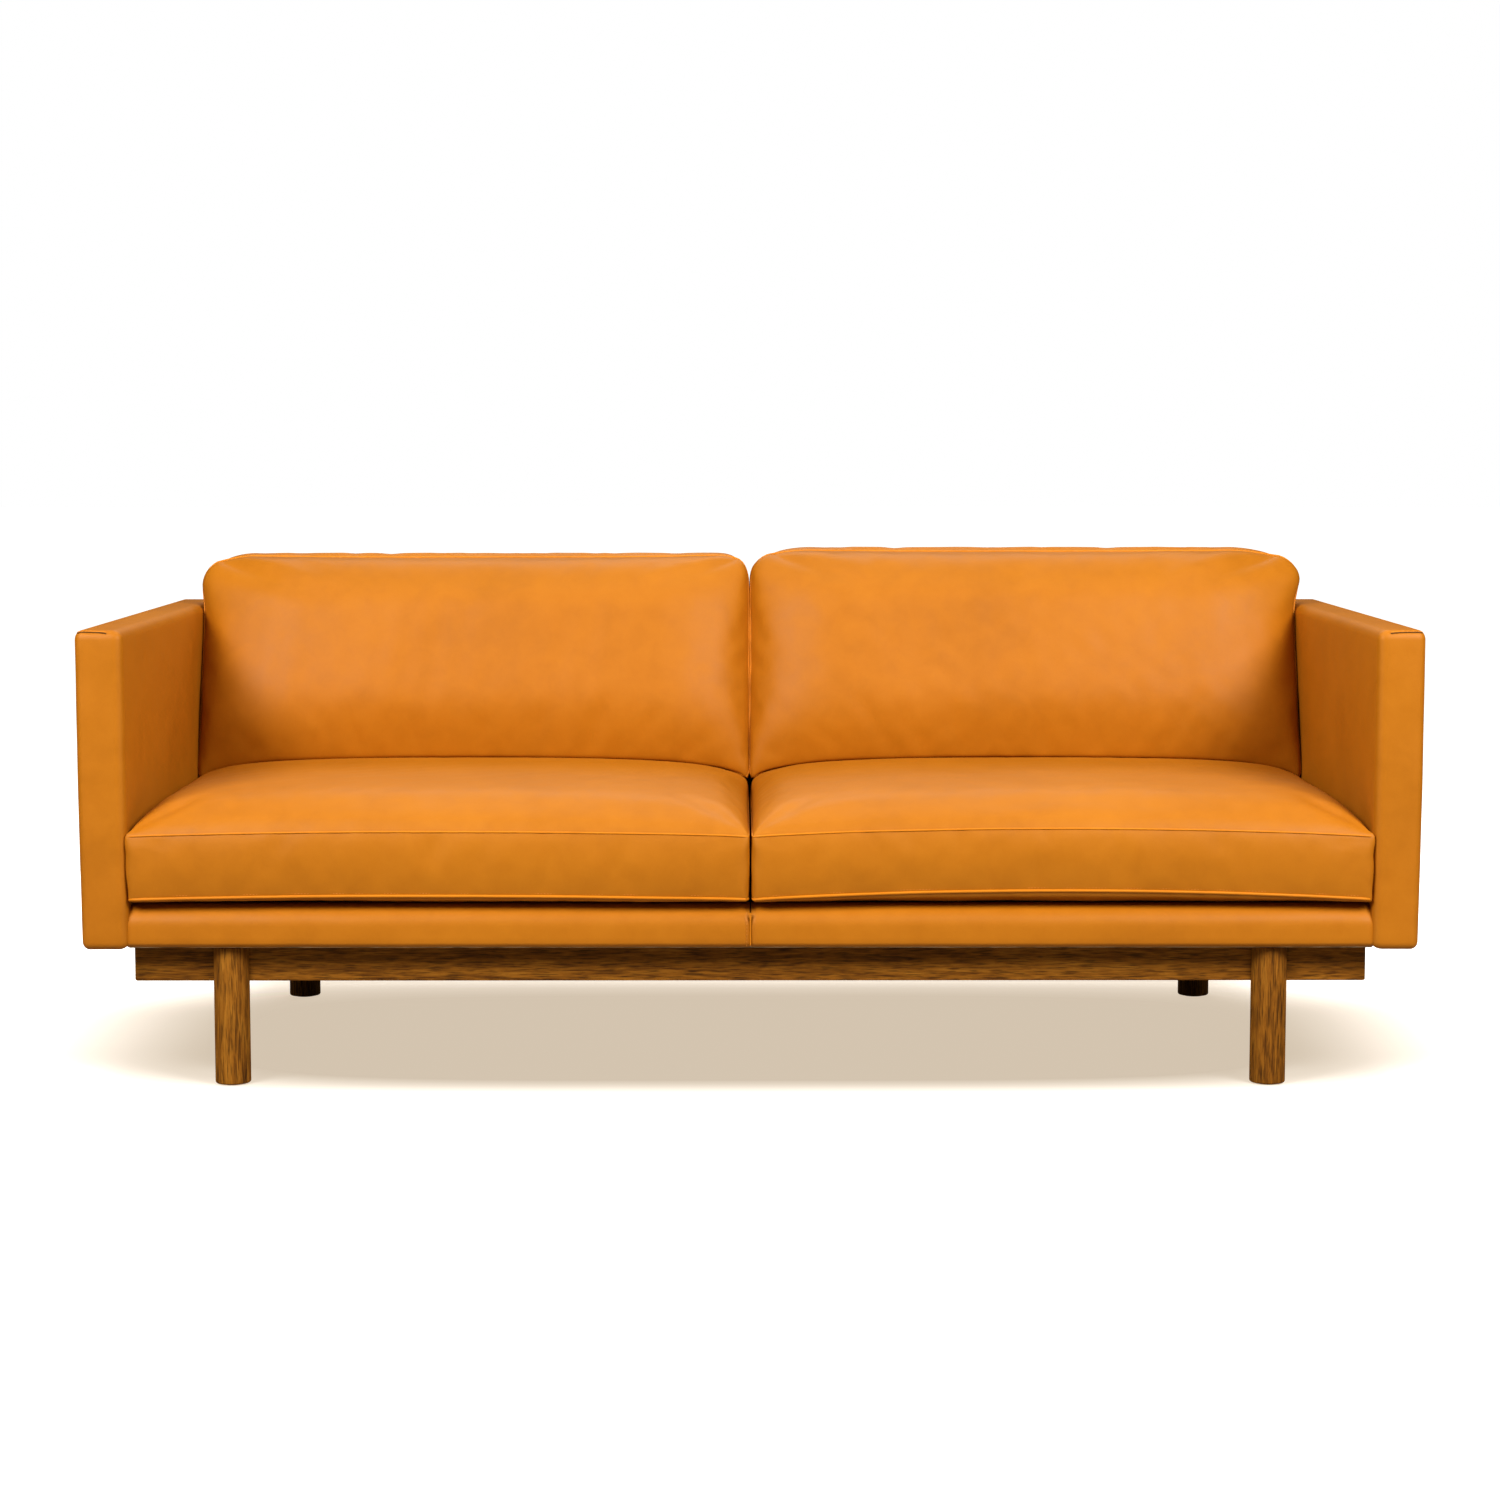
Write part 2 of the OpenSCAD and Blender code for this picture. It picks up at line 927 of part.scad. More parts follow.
// The side outline of a back cushion where it leans, set in by a layer and resting on the seat
module bolster_section(inset) {
    top_r = bolster_edge - inset;
    gap = bolster_gap + inset;
    difference() {
        translate([bolster_y, bolster_z])
            rotate(-bolster_lean)
                soft_rect([inset, -bolster_t], [bolster_t - inset, bolster_h - inset], [0, 0, top_r, top_r]);
        polygon([
            [bolster_y - bolster_t, 0],
            [bolster_y - bolster_t, crown_z + gap],
            [crown_end, crown_z + gap],
            [seat_y1, seam_high + crown_rear + gap],
            [rear_y + bolster_t, seam_high + crown_rear + gap],
            [rear_y + bolster_t, 0]
        ]);
    }
}

// The right back cushion, set in by a layer
module bolster_form(inset) {
    corner = bolster_corner - inset;
    x0 = bolster_gap + inset;
    x1 = bolster_x1 - inset;
    intersection() {
        along_x(x0, x1)
            bolster_section(inset);
        leaning()
            along_y(-over, bolster_t + over)
                soft_rect([x0, -bolster_h], [x1, bolster_h - inset], [0, 0, corner, corner]);
    }
}

// The zip strip low in the back of the right back cushion
module bolster_zip_strip(extra) {
    mid = (bolster_gap + bolster_x1) / 2;
    leaning()
        block(
            [mid - zip_l / 2, bolster_t - cover_t - extra, zip_rise],
            [mid + zip_l / 2, bolster_t + extra, zip_rise + zip_w]
        );
}

module back_cushion_cover(side) {
    color(leather)
        on_side(side)
            difference() {
                bolster_form(0);
                bolster_form(cover_t);
                bolster_zip_strip(over);
            }
}

module back_cushion_core(side) {
    color(foam)
        on_side(side)
            bolster_form(cover_t + core_gap);
}

module back_cushion_zip(side) {
    end = (bolster_gap + bolster_x1 - zip_l) / 2;
    z = zip_rise + zip_w / 2;
    color(zip_colour)
        on_side(side) {
            bolster_zip_strip(0);
            leaning()
                block(
                    [end + slider_l, bolster_t, z - zip_w / 3],
                    [end + 2 * slider_l, bolster_t + slider_t, z + zip_w / 3]
                );
        }
}

// ---- One line for each node ----

plinth_long_rail(FRONT);  // plinth_front_rail
plinth_long_rail(REAR);  // plinth_back_rail
plinth_side_rail(LEFT);  // plinth_left_rail
plinth_side_rail(RIGHT);  // plinth_right_rail
plinth_cross_rail(-plinth_t / 2, plinth_t / 2, 0);  // plinth_centre_rail
leg(LEFT, FRONT);  // leg_front_left
leg(RIGHT, FRONT);  // leg_front_right
leg(LEFT, REAR);  // leg_rear_left
leg(RIGHT, REAR);  // leg_rear_right
leg_bolts();
leg_inserts();
leg_glides();
plinth_screws();
seat_front_rail();
seat_back_rail();
seat_side_rail(LEFT);  // seat_left_rail
seat_side_rail(RIGHT);  // seat_right_rail
seat_cross_rail(-rail_t / 2, rail_t / 2, 0);  // seat_centre_rail
seat_corner_blocks();
seat_webbing();
deck_pad();
dust_cover();
base_front_pad();
base_cover(LEFT);  // base_cover_left
base_cover(RIGHT);  // base_cover_right
arm_front_post(LEFT);  // arm_left_front_post
arm_back_post(LEFT);  // arm_left_back_post
arm_top_rail(LEFT);  // arm_left_top_rail
arm_bottom_rail(LEFT);  // arm_left_bottom_rail
arm_pad(LEFT);  // arm_left_pad
arm_cover(LEFT);  // arm_left_cover
arm_front_post(RIGHT);  // arm_right_front_post
arm_back_post(RIGHT);  // arm_right_back_post
arm_top_rail(RIGHT);  // arm_right_top_rail
arm_bottom_rail(RIGHT);  // arm_right_bottom_rail
arm_pad(RIGHT);  // arm_right_pad
arm_cover(RIGHT);  // arm_right_cover
arm_boards();
arm_bolts();
back_posts();
back_top_rail();
back_bottom_rail();
back_webbing();
back_pad();
back_inner_cover();
back_outer_cover();
back_bolts();
seat_cushion_cover(LEFT);  // seat_cushion_left_cover
seat_cushion_core(LEFT);  // seat_cushion_left_core
seat_cushion_zip(LEFT);  // seat_cushion_left_zip
seat_cushion_cover(RIGHT);  // seat_cushion_right_cover
seat_cushion_core(RIGHT);  // seat_cushion_right_core
seat_cushion_zip(RIGHT);  // seat_cushion_right_zip
back_cushion_cover(LEFT);  // back_cushion_left_cover
back_cushion_core(LEFT);  // back_cushion_left_core
back_cushion_zip(LEFT);  // back_cushion_left_zip
back_cushion_cover(RIGHT);  // back_cushion_right_cover
back_cushion_core(RIGHT);  // back_cushion_right_core
back_cushion_zip(RIGHT);  // back_cushion_right_zip
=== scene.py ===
"""The looks of a two-seat leather sofa on turned timber legs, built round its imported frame.

Metres, +Z is up, -Y is the front, and left and right are as seen from the front.
Places come from the boxes of the frame's nodes. Sizes below are in millimetres times mm.
"""

import json
import math

import bpy
import numpy as np
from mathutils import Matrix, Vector

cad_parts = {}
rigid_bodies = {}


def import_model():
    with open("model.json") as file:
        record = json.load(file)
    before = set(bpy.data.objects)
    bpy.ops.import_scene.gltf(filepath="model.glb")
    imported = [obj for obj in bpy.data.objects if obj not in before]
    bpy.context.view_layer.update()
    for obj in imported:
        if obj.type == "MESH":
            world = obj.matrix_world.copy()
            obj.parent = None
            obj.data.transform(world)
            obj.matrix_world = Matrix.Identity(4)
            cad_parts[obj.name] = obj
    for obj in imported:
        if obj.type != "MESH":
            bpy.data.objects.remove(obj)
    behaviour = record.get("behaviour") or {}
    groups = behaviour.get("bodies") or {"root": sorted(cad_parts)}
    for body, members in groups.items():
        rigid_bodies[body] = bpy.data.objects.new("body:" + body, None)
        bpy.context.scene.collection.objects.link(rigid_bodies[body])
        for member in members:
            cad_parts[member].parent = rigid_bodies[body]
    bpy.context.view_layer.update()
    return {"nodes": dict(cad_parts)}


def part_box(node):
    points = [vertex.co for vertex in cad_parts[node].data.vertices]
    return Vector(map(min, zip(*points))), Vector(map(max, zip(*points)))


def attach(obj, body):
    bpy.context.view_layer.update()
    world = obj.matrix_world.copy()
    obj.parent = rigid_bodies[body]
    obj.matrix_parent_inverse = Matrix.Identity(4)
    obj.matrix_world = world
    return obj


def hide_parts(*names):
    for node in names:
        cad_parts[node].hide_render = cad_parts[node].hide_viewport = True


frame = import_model()

mm = 0.001
SIDES = {"left": -1, "right": 1}

# ---- Sizes of the upholstery ----

ARM_FRONT_ROUND = ARM_FOOT_ROUND = 13 * mm  # soft edges of the arms
ARM_REAR_ROUND = 11 * mm
ARM_TOP_ROUND = 16 * mm
ARM_SIDE_ROUND = (12 * mm, 17 * mm)  # outer and inner face
ARM_SEAM = {"left": (-34 * mm, 13 * mm), "right": (-18 * mm, 33 * mm)}  # from the arm's middle
ARM_RISE = 8.5 * mm  # the arm's top is this much higher at the rear
ARM_BOW = 2.5 * mm  # the outside of the arm draws in by this at its foot
ARM_BOW_HEIGHT = 267 * mm  # ... over this height

BASE_ROUND = 30 * mm  # front and top edge of the base's leather
BASE_FOOT_ROUND = 12 * mm
BASE_UNDER_ARM = 5 * mm  # its ends reach this far under the arm
BASE_CREASES = ((26 * mm, 20 * mm), (34 * mm, 9 * mm))  # reach and fall from its upper end

SEAT_SEAM_LOW = 7.5 * mm  # lower seam above the underside, at the cushion's ends
SEAT_SEAM_HIGH = 110 * mm  # upper seam above the underside, at the cushion's ends
SEAT_ARCH_HIGH = {"left": 6 * mm, "right": 11 * mm}  # the upper seam rises by this
SEAT_ARCH_LOW = {"left": 6 * mm, "right": 15 * mm}  # ... and the lower seam by this
SEAT_BAND_SWELL = 6 * mm
SEAT_LOFT = 4 * mm  # the crown stands this much over the plain cushion
SEAT_TAPER = (3 * mm, 2 * mm)  # outer and inner end draw in by this towards the lower seam
SEAT_FRONT_RUN = 250 * mm  # the crown rises over this much of the top, from the front
SEAT_SLOPE_START = 24 * mm  # behind the front of the back cushions the seat begins to fall
SEAT_SLOPE_FALL = 46 * mm  # ... and falls by this
SEAT_FRONT_CORNER, SEAT_REAR_CORNER = (7 * mm, 7 * mm), (14 * mm, 14 * mm)
SEAT_PAST_ARM = 4 * mm  # the front corner spreads this far in front of the arm
SEAT_CREASES = (  # from the outer end 1, the inner end -1 or the middle 0, and from the upper seam
    (1, (-6 * mm, -5 * mm), (-70 * mm, -17 * mm), 5 * mm, 1.5 * mm),
    (1, (-10 * mm, -14 * mm), (-48 * mm, -30 * mm), 5 * mm, 1.1 * mm),
    (-1, (8 * mm, -6 * mm), (60 * mm, -16 * mm), 5 * mm, 1.0 * mm),
    (0, (-60 * mm, -92 * mm), (-66 * mm, -102 * mm), 4 * mm, 1.2 * mm),
)

BACK_LEAN = math.radians(18)
BACK_THICK = 155 * mm
BACK_SINK = 20 * mm  # the back cushions start this far below the seat's crown
BACK_REST_GAP = 1.5 * mm
BACK_SEAM_DEPTH = 92 * mm  # front seam behind the front of the belly
BACK_EARS = 28 * mm  # ... and this much less at the cushion's ends
BACK_REAR_SEAM_DEPTH = 128 * mm
BACK_FOOT = -6 * mm  # lower seam, along the lean
BACK_TOP = {"left": 418 * mm, "right": 429 * mm}  # upper seam, along the lean
BACK_OUTER_GAP = {"left": 1.5 * mm, "right": 1 * mm}  # from the arm
BACK_OVER_ARM = {"left": 8 * mm, "right": 15 * mm}  # wider above the arm by this
BACK_INNER_GAP = 2 * mm  # from the middle of the sofa
BACK_CORNERS = {  # width and height of the rounding of each top corner, left one first
    "left": ((90 * mm, 56 * mm), (52 * mm, 42 * mm)),
    "right": ((115 * mm, 44 * mm), (118 * mm, 56 * mm)),
}
BACK_FOOT_CORNER = (26 * mm, 26 * mm)
BACK_HEAD_SWELL = 14 * mm  # of the band along the top
BACK_BELLY_FOOT = 160 * mm  # the belly fills out over this much from the foot
BACK_BELLY_HEAD = 120 * mm  # ... from the head
BACK_BELLY_SIDE = 175 * mm  # ... and from each end
BACK_CREASES = (  # at the lower corners: reach, height at the corner and at the end, width, depth
    (95 * mm, 448 * mm, 476 * mm, 7 * mm, 3.4 * mm),
    (60 * mm, 446 * mm, 500 * mm, 8 * mm, 2.6 * mm),
)
BAND_ROWS = 7  # rows of the bands of all the cushions

WELT = {"seat_high": 1.5 * mm, "seat_low": 2.4 * mm, "back": 2.0 * mm}


# ---- Materials ----


class Value:
    """A socket of a material, so that shader maths reads as plain expressions."""

    def __init__(self, finish, socket):
        self.finish, self.socket = finish, socket

    def _maths(self, operation, a, b):
        node = self.finish.node("ShaderNodeMath", {"operation": operation}, {0: a, 1: b})
        return node.out("Value")

    def __add__(self, other):
        return self._maths("ADD", self, other)

    __radd__ = __add__

    def __mul__(self, other):
        return self._maths("MULTIPLY", self, other)

    __rmul__ = __mul__

    def sine(self):
        return self._maths("SINE", self, 0.0)


class Node:
    """A shader node whose outputs are handed on as values."""

    def __init__(self, finish, made):
        self.finish, self.made = finish, made

    def out(self, key):
        """One output, by its name or its place."""
        return Value(self.finish, self.made.outputs[key])


class Finish:
    """A procedural material, or the world, while it is being built."""

    def __init__(self, name, kind="materials"):
        self.material = getattr(bpy.data, kind).new(name)
        self.material.use_nodes = True
        self.tree = self.material.node_tree
        self.tree.nodes.clear()

    def node(self, kind, settings=None, inputs=None):
        made = self.tree.nodes.new(kind)
        for key, value in (settings or {}).items():
            if key == "stops":
                ramp = made.color_ramp
                while len(ramp.elements) < len(value):
                    ramp.elements.new(1.0)
                for element, (place, colour) in zip(ramp.elements, value):
                    element.position, element.color = place, (*colour, 1.0)
            else:
                setattr(made, key, value)
        for key, value in (inputs or {}).items():
            if isinstance(value, Value):
                self.tree.links.new(value.socket, made.inputs[key])
            else:
                made.inputs[key].default_value = value
        return Node(self, made)

    def place(self, stretch=(1, 1, 1)):
        """Object coordinates, scaled along each axis."""
        own = self.node("ShaderNodeTexCoord").out("Object")
        inputs = {"Vector": own, "Scale": stretch}
        return self.node("ShaderNodeMapping", inputs=inputs).out("Vector")

    def axis(self, place, axis):
        return self.node("ShaderNodeSeparateXYZ", inputs={"Vector": place}).out(axis)

    def noise(self, place, scale, detail=2.0, roughness=0.5, distortion=0.0):
        inputs = {"Vector": place, "Scale": scale, "Detail": detail}
        inputs.update({"Roughness": roughness, "Distortion": distortion})
        return self.node("ShaderNodeTexNoise", inputs=inputs).out("Fac")

    def ramp(self, value, stops):
        """Colours at their places along a value from 0 to 1."""
        return self.node("ShaderNodeValToRGB", {"stops": stops}, {"Fac": value}).out("Color")

    def multiply(self, share, a, b):
        """Two colours multiplied: Mix keeps its colour sockets at 6 and 7, and the result at 2."""
        settings = {"data_type": "RGBA", "blend_type": "MULTIPLY"}
        return self.node("ShaderNodeMix", settings, {0: share, 6: a, 7: b}).out(2)

    def bump(self, height, strength, distance, below=None):
        inputs = {"Height": height, "Strength": strength, "Distance": distance}
        if below is not None:
            inputs["Normal"] = below
        return self.node("ShaderNodeBump", inputs=inputs).out("Normal")

    def surface(self, **sockets):
        named = {k.replace("_", " "): v for k, v in sockets.items()}
        shader = self.node("ShaderNodeBsdfPrincipled", inputs=named)
        self.node("ShaderNodeOutputMaterial", inputs={"Surface": shader.out("BSDF")})
        return self.material


def grey(level):
    return (level, level, level)


# Colours from deep to pale.
CARAMEL = ((0.385, 0.133, 0.0036), (0.43, 0.151, 0.0046), (0.465, 0.168, 0.0060))


def leather_finish(name, painted_light_scale=1.0, crease=1.0):
    """Semi-aniline leather: soft mottling, fine pebbled grain and a satin top coat. A scale of its
    colours above 1 paints a highlight into it, and one below 1 paints shade.
    """
    f = Finish(name)
    place = f.place()
    cloud = f.noise(place, 3.2, 3.0, 0.5)
    patch = f.noise(place, 26.0, 4.0, 0.6, 0.3)
    deep, mid, pale = (tuple(part * painted_light_scale for part in colour) for colour in CARAMEL)
    spread = 0.6 * cloud + 0.4 * patch
    colour = f.ramp(spread, [(0.30, deep), (0.5, mid), (0.72, pale)])
    cells = {"Vector": place, "Scale": 620.0, "Smoothness": 0.6}
    pebble = f.node("ShaderNodeTexVoronoi", {"feature": "SMOOTH_F1"}, cells).out("Distance")
    pores = f.noise(place, 1500.0, 2.0, 0.6)
    veins = f.noise(place, 90.0, 3.0, 0.7, 1.2)
    hollow = f.ramp(pores, [(0.28, grey(0.8)), (0.45, grey(1.0))])
    colour = f.multiply(0.35, colour, hollow)
    grain = 0.6 * pebble + 0.25 * pores
    skin = f.bump(veins, 0.10 * crease, 0.0012)
    skin = f.bump(grain, 0.22 * crease, 0.0004, skin)
    return f.surface(
        Base_Color=colour,
        Roughness=0.43 + 0.16 * patch,
        Normal=skin,
        Specular_IOR_Level=0.22,
    )


def timber_finish(name, along, deep, mid, pale):
    """Oiled timber with its grain along X, Y or Z: broad bands, streaks and open pores."""
    f = Finish(name)
    drawn_out, drawn_fine = (
        f.place([stretch if axis == along else 1.0 for axis in "XYZ"]) for stretch in (0.10, 0.06)
    )
    bands = f.noise(drawn_out, 34.0, 3.0, 0.55, 0.9)
    streaks = f.noise(drawn_out, 190.0, 4.0, 0.65, 0.4)
    pores = f.noise(drawn_fine, 480.0, 2.0, 0.5)
    growth = 0.35 * bands + 0.65 * streaks
    colour = f.ramp(growth, [(0.34, deep), (0.5, mid), (0.64, pale)])
    holes = f.ramp(pores, [(0.36, grey(0.35)), (0.50, grey(1.0))])
    colour = f.multiply(0.85, colour, holes)
    skin = f.bump(0.5 * streaks + 0.5 * pores, 0.30, 0.0005)
    return f.surface(
        Base_Color=colour,
        Roughness=0.6 + 0.2 * streaks,
        Normal=skin,
        Specular_IOR_Level=0.12,
    )


def speckled_finish(name, speckle, dark, light, bump, rough, uneven=0.0, **sockets):
    """One speckle that sets the colour, the surface and, where it is uneven, the gloss."""
    f = Finish(name)
    (scale, detail, roughness), (dark_end, light_start) = speckle
    spots = f.noise(f.place(), scale, detail, roughness)
    sockets["Base_Color"] = f.ramp(spots, [(dark_end, dark), (light_start, light)])
    sockets["Roughness"] = rough + uneven * spots if uneven else rough
    return f.surface(Normal=f.bump(spots, *bump), **sockets)


def woven_finish(name, dark, light, pitch):
    """Plain weave: threads over and under, at the given pitch."""
    f = Finish(name)
    place = f.place()
    x, y, z = ((f.axis(place, axis) * (2 * math.pi / pitch)).sine() for axis in "XYZ")
    weave = 0.5 + 0.25 * x * y + 0.25 * z
    fluff = f.noise(place, 300.0, 3.0, 0.6)
    colour = f.ramp(0.7 * weave + 0.3 * fluff, [(0.3, dark), (0.7, light)])
    return f.surface(
        Base_Color=colour,
        Roughness=0.85 + 0.1 * fluff,
        Normal=f.bump(weave, 0.5, 0.0006),
    )


LEATHER = leather_finish("caramel_leather")
# Painted highlight: welts and lips in leather lightened by 35 % for the light caught on their
# ridges, partly also the paler tone of stretched leather.
HIGHLIT_WELT_LEATHER = leather_finish("stretched_caramel_leather", 1.35, 0.7)
# Painted shade: leather darkened to 30 % for a dark cord that stands in for the shadow in the arm's
# short seam.
SEAM_SHADE = leather_finish("leather_in_the_seams", 0.30, 0.5)
OILED = ((0.100, 0.033, 0.003), (0.245, 0.092, 0.007), (0.360, 0.150, 0.015))
LEG_TIMBER = timber_finish("oiled_timber_upright", "Z", *OILED)
PLINTH_TIMBER = timber_finish("oiled_timber_lengthwise", "X", *OILED)
CROSS_TIMBER = timber_finish("oiled_timber_crosswise", "Y", *OILED)
PALE = ((0.44, 0.29, 0.15), (0.62, 0.45, 0.26), (0.74, 0.57, 0.36))
FRAME_TIMBER = timber_finish("planed_softwood", "X", *PALE)
FOAM = speckled_finish(
    "cut_foam",
    ((700.0, 3.0, 0.7), (0.3, 0.6)),
    (0.62, 0.55, 0.36),
    (0.84, 0.78, 0.58),
    bump=(0.6, 0.0008),
    rough=0.95,
)
WEBBING = woven_finish("elastic_webbing", grey(0.02), (0.10, 0.095, 0.09), 2.4 * mm)
LINING = woven_finish("black_lining", grey(0.012), grey(0.05), 1.2 * mm)
FELT = woven_finish("pressed_felt", (0.03, 0.026, 0.022), (0.09, 0.08, 0.07), 0.8 * mm)
STEEL = speckled_finish(
    "zinc_plated_steel",
    ((240.0, 3.0, 0.6), (0.3, 0.7)),
    (0.42, 0.42, 0.44),
    (0.66, 0.66, 0.68),
    bump=(0.1, 0.0003),
    rough=0.28,
    uneven=0.2,
    Metallic=1.0,
)
THREAD = speckled_finish(
    "bonded_thread",
    ((1800.0, 2.0, 0.6), (0.3, 0.7)),
    (0.46, 0.15, 0.015),
    (0.72, 0.30, 0.05),
    bump=(0.4, 0.0003),
    rough=0.6,
)
ZIP = woven_finish("zip_tape", (0.14, 0.05, 0.01), (0.36, 0.15, 0.03), 1.4 * mm)

NODE_FINISHES = [  # the first that a node's name starts or ends with
    (("leg_bolts", "leg_inserts", "plinth_screws", "arm_bolts", "back_bolts"), STEEL),
    (("leg_glides",), FELT),
    (("plinth_front_rail", "plinth_back_rail"), PLINTH_TIMBER),
    (("plinth_",), CROSS_TIMBER),
    (("deck_pad", "dust_cover"), LINING),
    (("_webbing",), WEBBING),
    (("_zip",), ZIP),
    (("_pad",), FOAM),
    (("_rail", "_post", "_posts", "_blocks", "_boards"), FRAME_TIMBER),
    (("leg_",), LEG_TIMBER),
    (("base_cover", "_cover"), LEATHER),
    (("_core",), FOAM),
]


def finish_frame_nodes():
    """Gives every node of the frame its finish."""
    for name, node in frame["nodes"].items():
        finish = next(
            finish
            for words, finish in NODE_FINISHES
            if name.startswith(words) or name.endswith(words)
        )
        node.data.materials.clear()
        node.data.materials.append(finish)


# ---- Mesh helpers ----


def add_object(name, data):
    made = bpy.data.objects.new(name, data)
    bpy.context.scene.collection.objects.link(made)
    return made


def shade_smooth(mesh, smooth=True):
    mesh.polygons.foreach_set("use_smooth", [smooth] * len(mesh.polygons))


def add_piece(name, points, faces, finish, smooth=True):
    mesh = bpy.data.meshes.new(name)
    mesh.from_pydata([tuple(p) for p in points], [], [tuple(f) for f in faces])
    mesh.materials.append(finish)
    shade_smooth(mesh, smooth)
    mesh.update()
    return add_object(name, mesh)


def plain_mesh(piece):
    """A mesh of the piece as its modifiers leave it."""
    graph = bpy.context.evaluated_depsgraph_get()
    return bpy.data.meshes.new_from_object(piece.evaluated_get(graph))


def read_vertices(piece, what):
    flat = np.zeros(len(piece.data.vertices) * 3)
    piece.data.vertices.foreach_get(what, flat)
    return flat.reshape(-1, 3)


def points_of(piece):
    return read_vertices(piece, "co")


def normals_of(piece):
    return read_vertices(piece, "normal")


def box_of(node):
    """The low and the high corner of a frame node, as arrays."""
    return (np.array(corner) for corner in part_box(node))


def set_points(piece, points):
    piece.data.vertices.foreach_set("co", points.ravel())
    piece.data.update()


def ease(value):
    """A smooth step from 0 to 1."""
    t = np.clip(value, 0.0, 1.0)
    return t * t * (3 - 2 * t)


def waver(points, size, seed):
    """Smooth, repeatable unevenness from -1 to 1 with bumps of about the given size."""
    random = np.random.default_rng(seed)
    total = np.zeros(len(points))
    waves = 9
    for _ in range(waves):
        direction = random.normal(size=3)
        direction *= 2 * math.pi / (size * np.linalg.norm(direction))
        direction *= random.uniform(0.6, 1.5)
        total += np.sin(points @ direction + random.uniform(0, 2 * math.pi))
    return total / math.sqrt(waves * 2.0)


def stations(low, high, edge_low, edge_high, step):
    """Places along one side of a box: close together in the rounded edges, then a step apart."""
    shares = np.array([0.0, 0.12, 0.3, 0.5, 0.75])
    count = max(2, round((high - edge_high - low - edge_low) / step) + 1)
    flat = np.linspace(low + edge_low, high - edge_high, count)
    return np.concatenate([low + edge_low * shares, flat, high - edge_high * shares[::-1]])


def box_surface(xs, ys, zs):
    """The six sides of a lattice as one closed skin of quads that face outwards."""
    count = (len(xs), len(ys), len(zs))
    grids = (xs, ys, zs)
    index, points, faces = {}, [], []

    def corner(key):
        if key not in index:
            index[key] = len(points)
            points.append([grids[axis][key[axis]] for axis in range(3)])
        return index[key]

    for axis in range(3):
        a, b = (axis + 1) % 3, (axis + 2) % 3
        for end in (0, count[axis] - 1):
            for i in range(count[a] - 1):
                for j in range(count[b] - 1):
                    quad = []
                    for di, dj in ((0, 0), (1, 0), (1, 1), (0, 1)):
                        key = [0, 0, 0]
                        key[axis], key[a], key[b] = end, i + di, j + dj
                        quad.append(corner(tuple(key)))
                    faces.append(quad if end else quad[::-1])
    return np.array(points), faces


def soft_box(low, high, round_low, round_high, step=20 * mm):
    """A closed box whose edges are rounded, by radii at its low and its high sides."""
    low, high = np.array(low, float), np.array(high, float)
    round_low, round_high = np.array(round_low, float), np.array(round_high, float)
    sides = zip(low, high, round_low, round_high)
    points, faces = box_surface(*(stations(*side, step) for side in sides))
    core = np.clip(points, low + round_low, high - round_high)
    radii = np.where(points < core, round_low, round_high)
    out = (points - core) / radii
    out /= np.maximum(np.linalg.norm(out, axis=1), 1e-9)[:, None]
    return core + radii * out, faces


def fold(points, normals, start, end, width, depth):
    """Presses a crease between two points, with soft lips beside it."""
    start, end = np.array(start), np.array(end)
    line = end - start
    share = np.clip((points - start) @ line / (line @ line), 0, 1)
    away = np.linalg.norm(points - start - share[:, None] * line, axis=1) / width
    strength = np.sin(np.pi * np.clip(0.15 + 0.85 * share, 0, 1)) ** 0.7
    shape = 0.55 * np.exp(-((away - 1.5) ** 2)) - np.exp(-(away**2))
    return points + normals * (depth * strength * shape)[:, None]


def subdivide(piece):
    """Gives the piece one level of subdivision as a plain mesh."""
    smooth = piece.modifiers.new("smooth", "SUBSURF")
    smooth.levels = smooth.render_levels = 1
    mesh = plain_mesh(piece)
    piece.modifiers.clear()
    piece.data = mesh
    shade_smooth(mesh)


# ---- Geometry Nodes: cords and stitches that follow a path ----


class Tree:
    """A Geometry Nodes tree with named inputs, built one node at a time."""

    def __init__(self, name, inputs):
        self.tree = bpy.data.node_groups.new(name, "GeometryNodeTree")
        face = self.tree.interface
        face.new_socket("Geometry", in_out="INPUT", socket_type="NodeSocketGeometry")
        self.ids = {}
        for label, (kind, value) in inputs.items():
            socket = face.new_socket(label, in_out="INPUT", socket_type=kind)
            if value is not None:
                socket.default_value = value
            self.ids[label] = socket.identifier
        face.new_socket("Geometry", in_out="OUTPUT", socket_type="NodeSocketGeometry")
        self.given = self.tree.nodes.new("NodeGroupInput").outputs
        self.result = self.tree.nodes.new("NodeGroupOutput").inputs

    def node(self, kind, out, inputs=None, **settings):
        """Adds a node and returns one of its outputs."""
        made = self.tree.nodes.new(kind)
        for key, value in settings.items():
            setattr(made, key, value)
        for key, value in (inputs or {}).items():
            if isinstance(value, bpy.types.NodeSocket):
                self.tree.links.new(value, made.inputs[key])
            else:
                made.inputs[key].default_value = value
        return made.outputs[out]

    def path(self):
        """The given edges as curves."""
        return self.node("GeometryNodeMeshToCurve", "Curve", {"Mesh": self.given["Geometry"]})

    def close(self, geometry):
        whole = self.node("GeometryNodeRealizeInstances", "Geometry", {"Geometry": geometry})
        coat = {"Geometry": whole, "Material": self.given["Material"]}
        coated = self.node("GeometryNodeSetMaterial", "Geometry", coat)
        self.tree.links.new(coated, self.result["Geometry"])
        return self


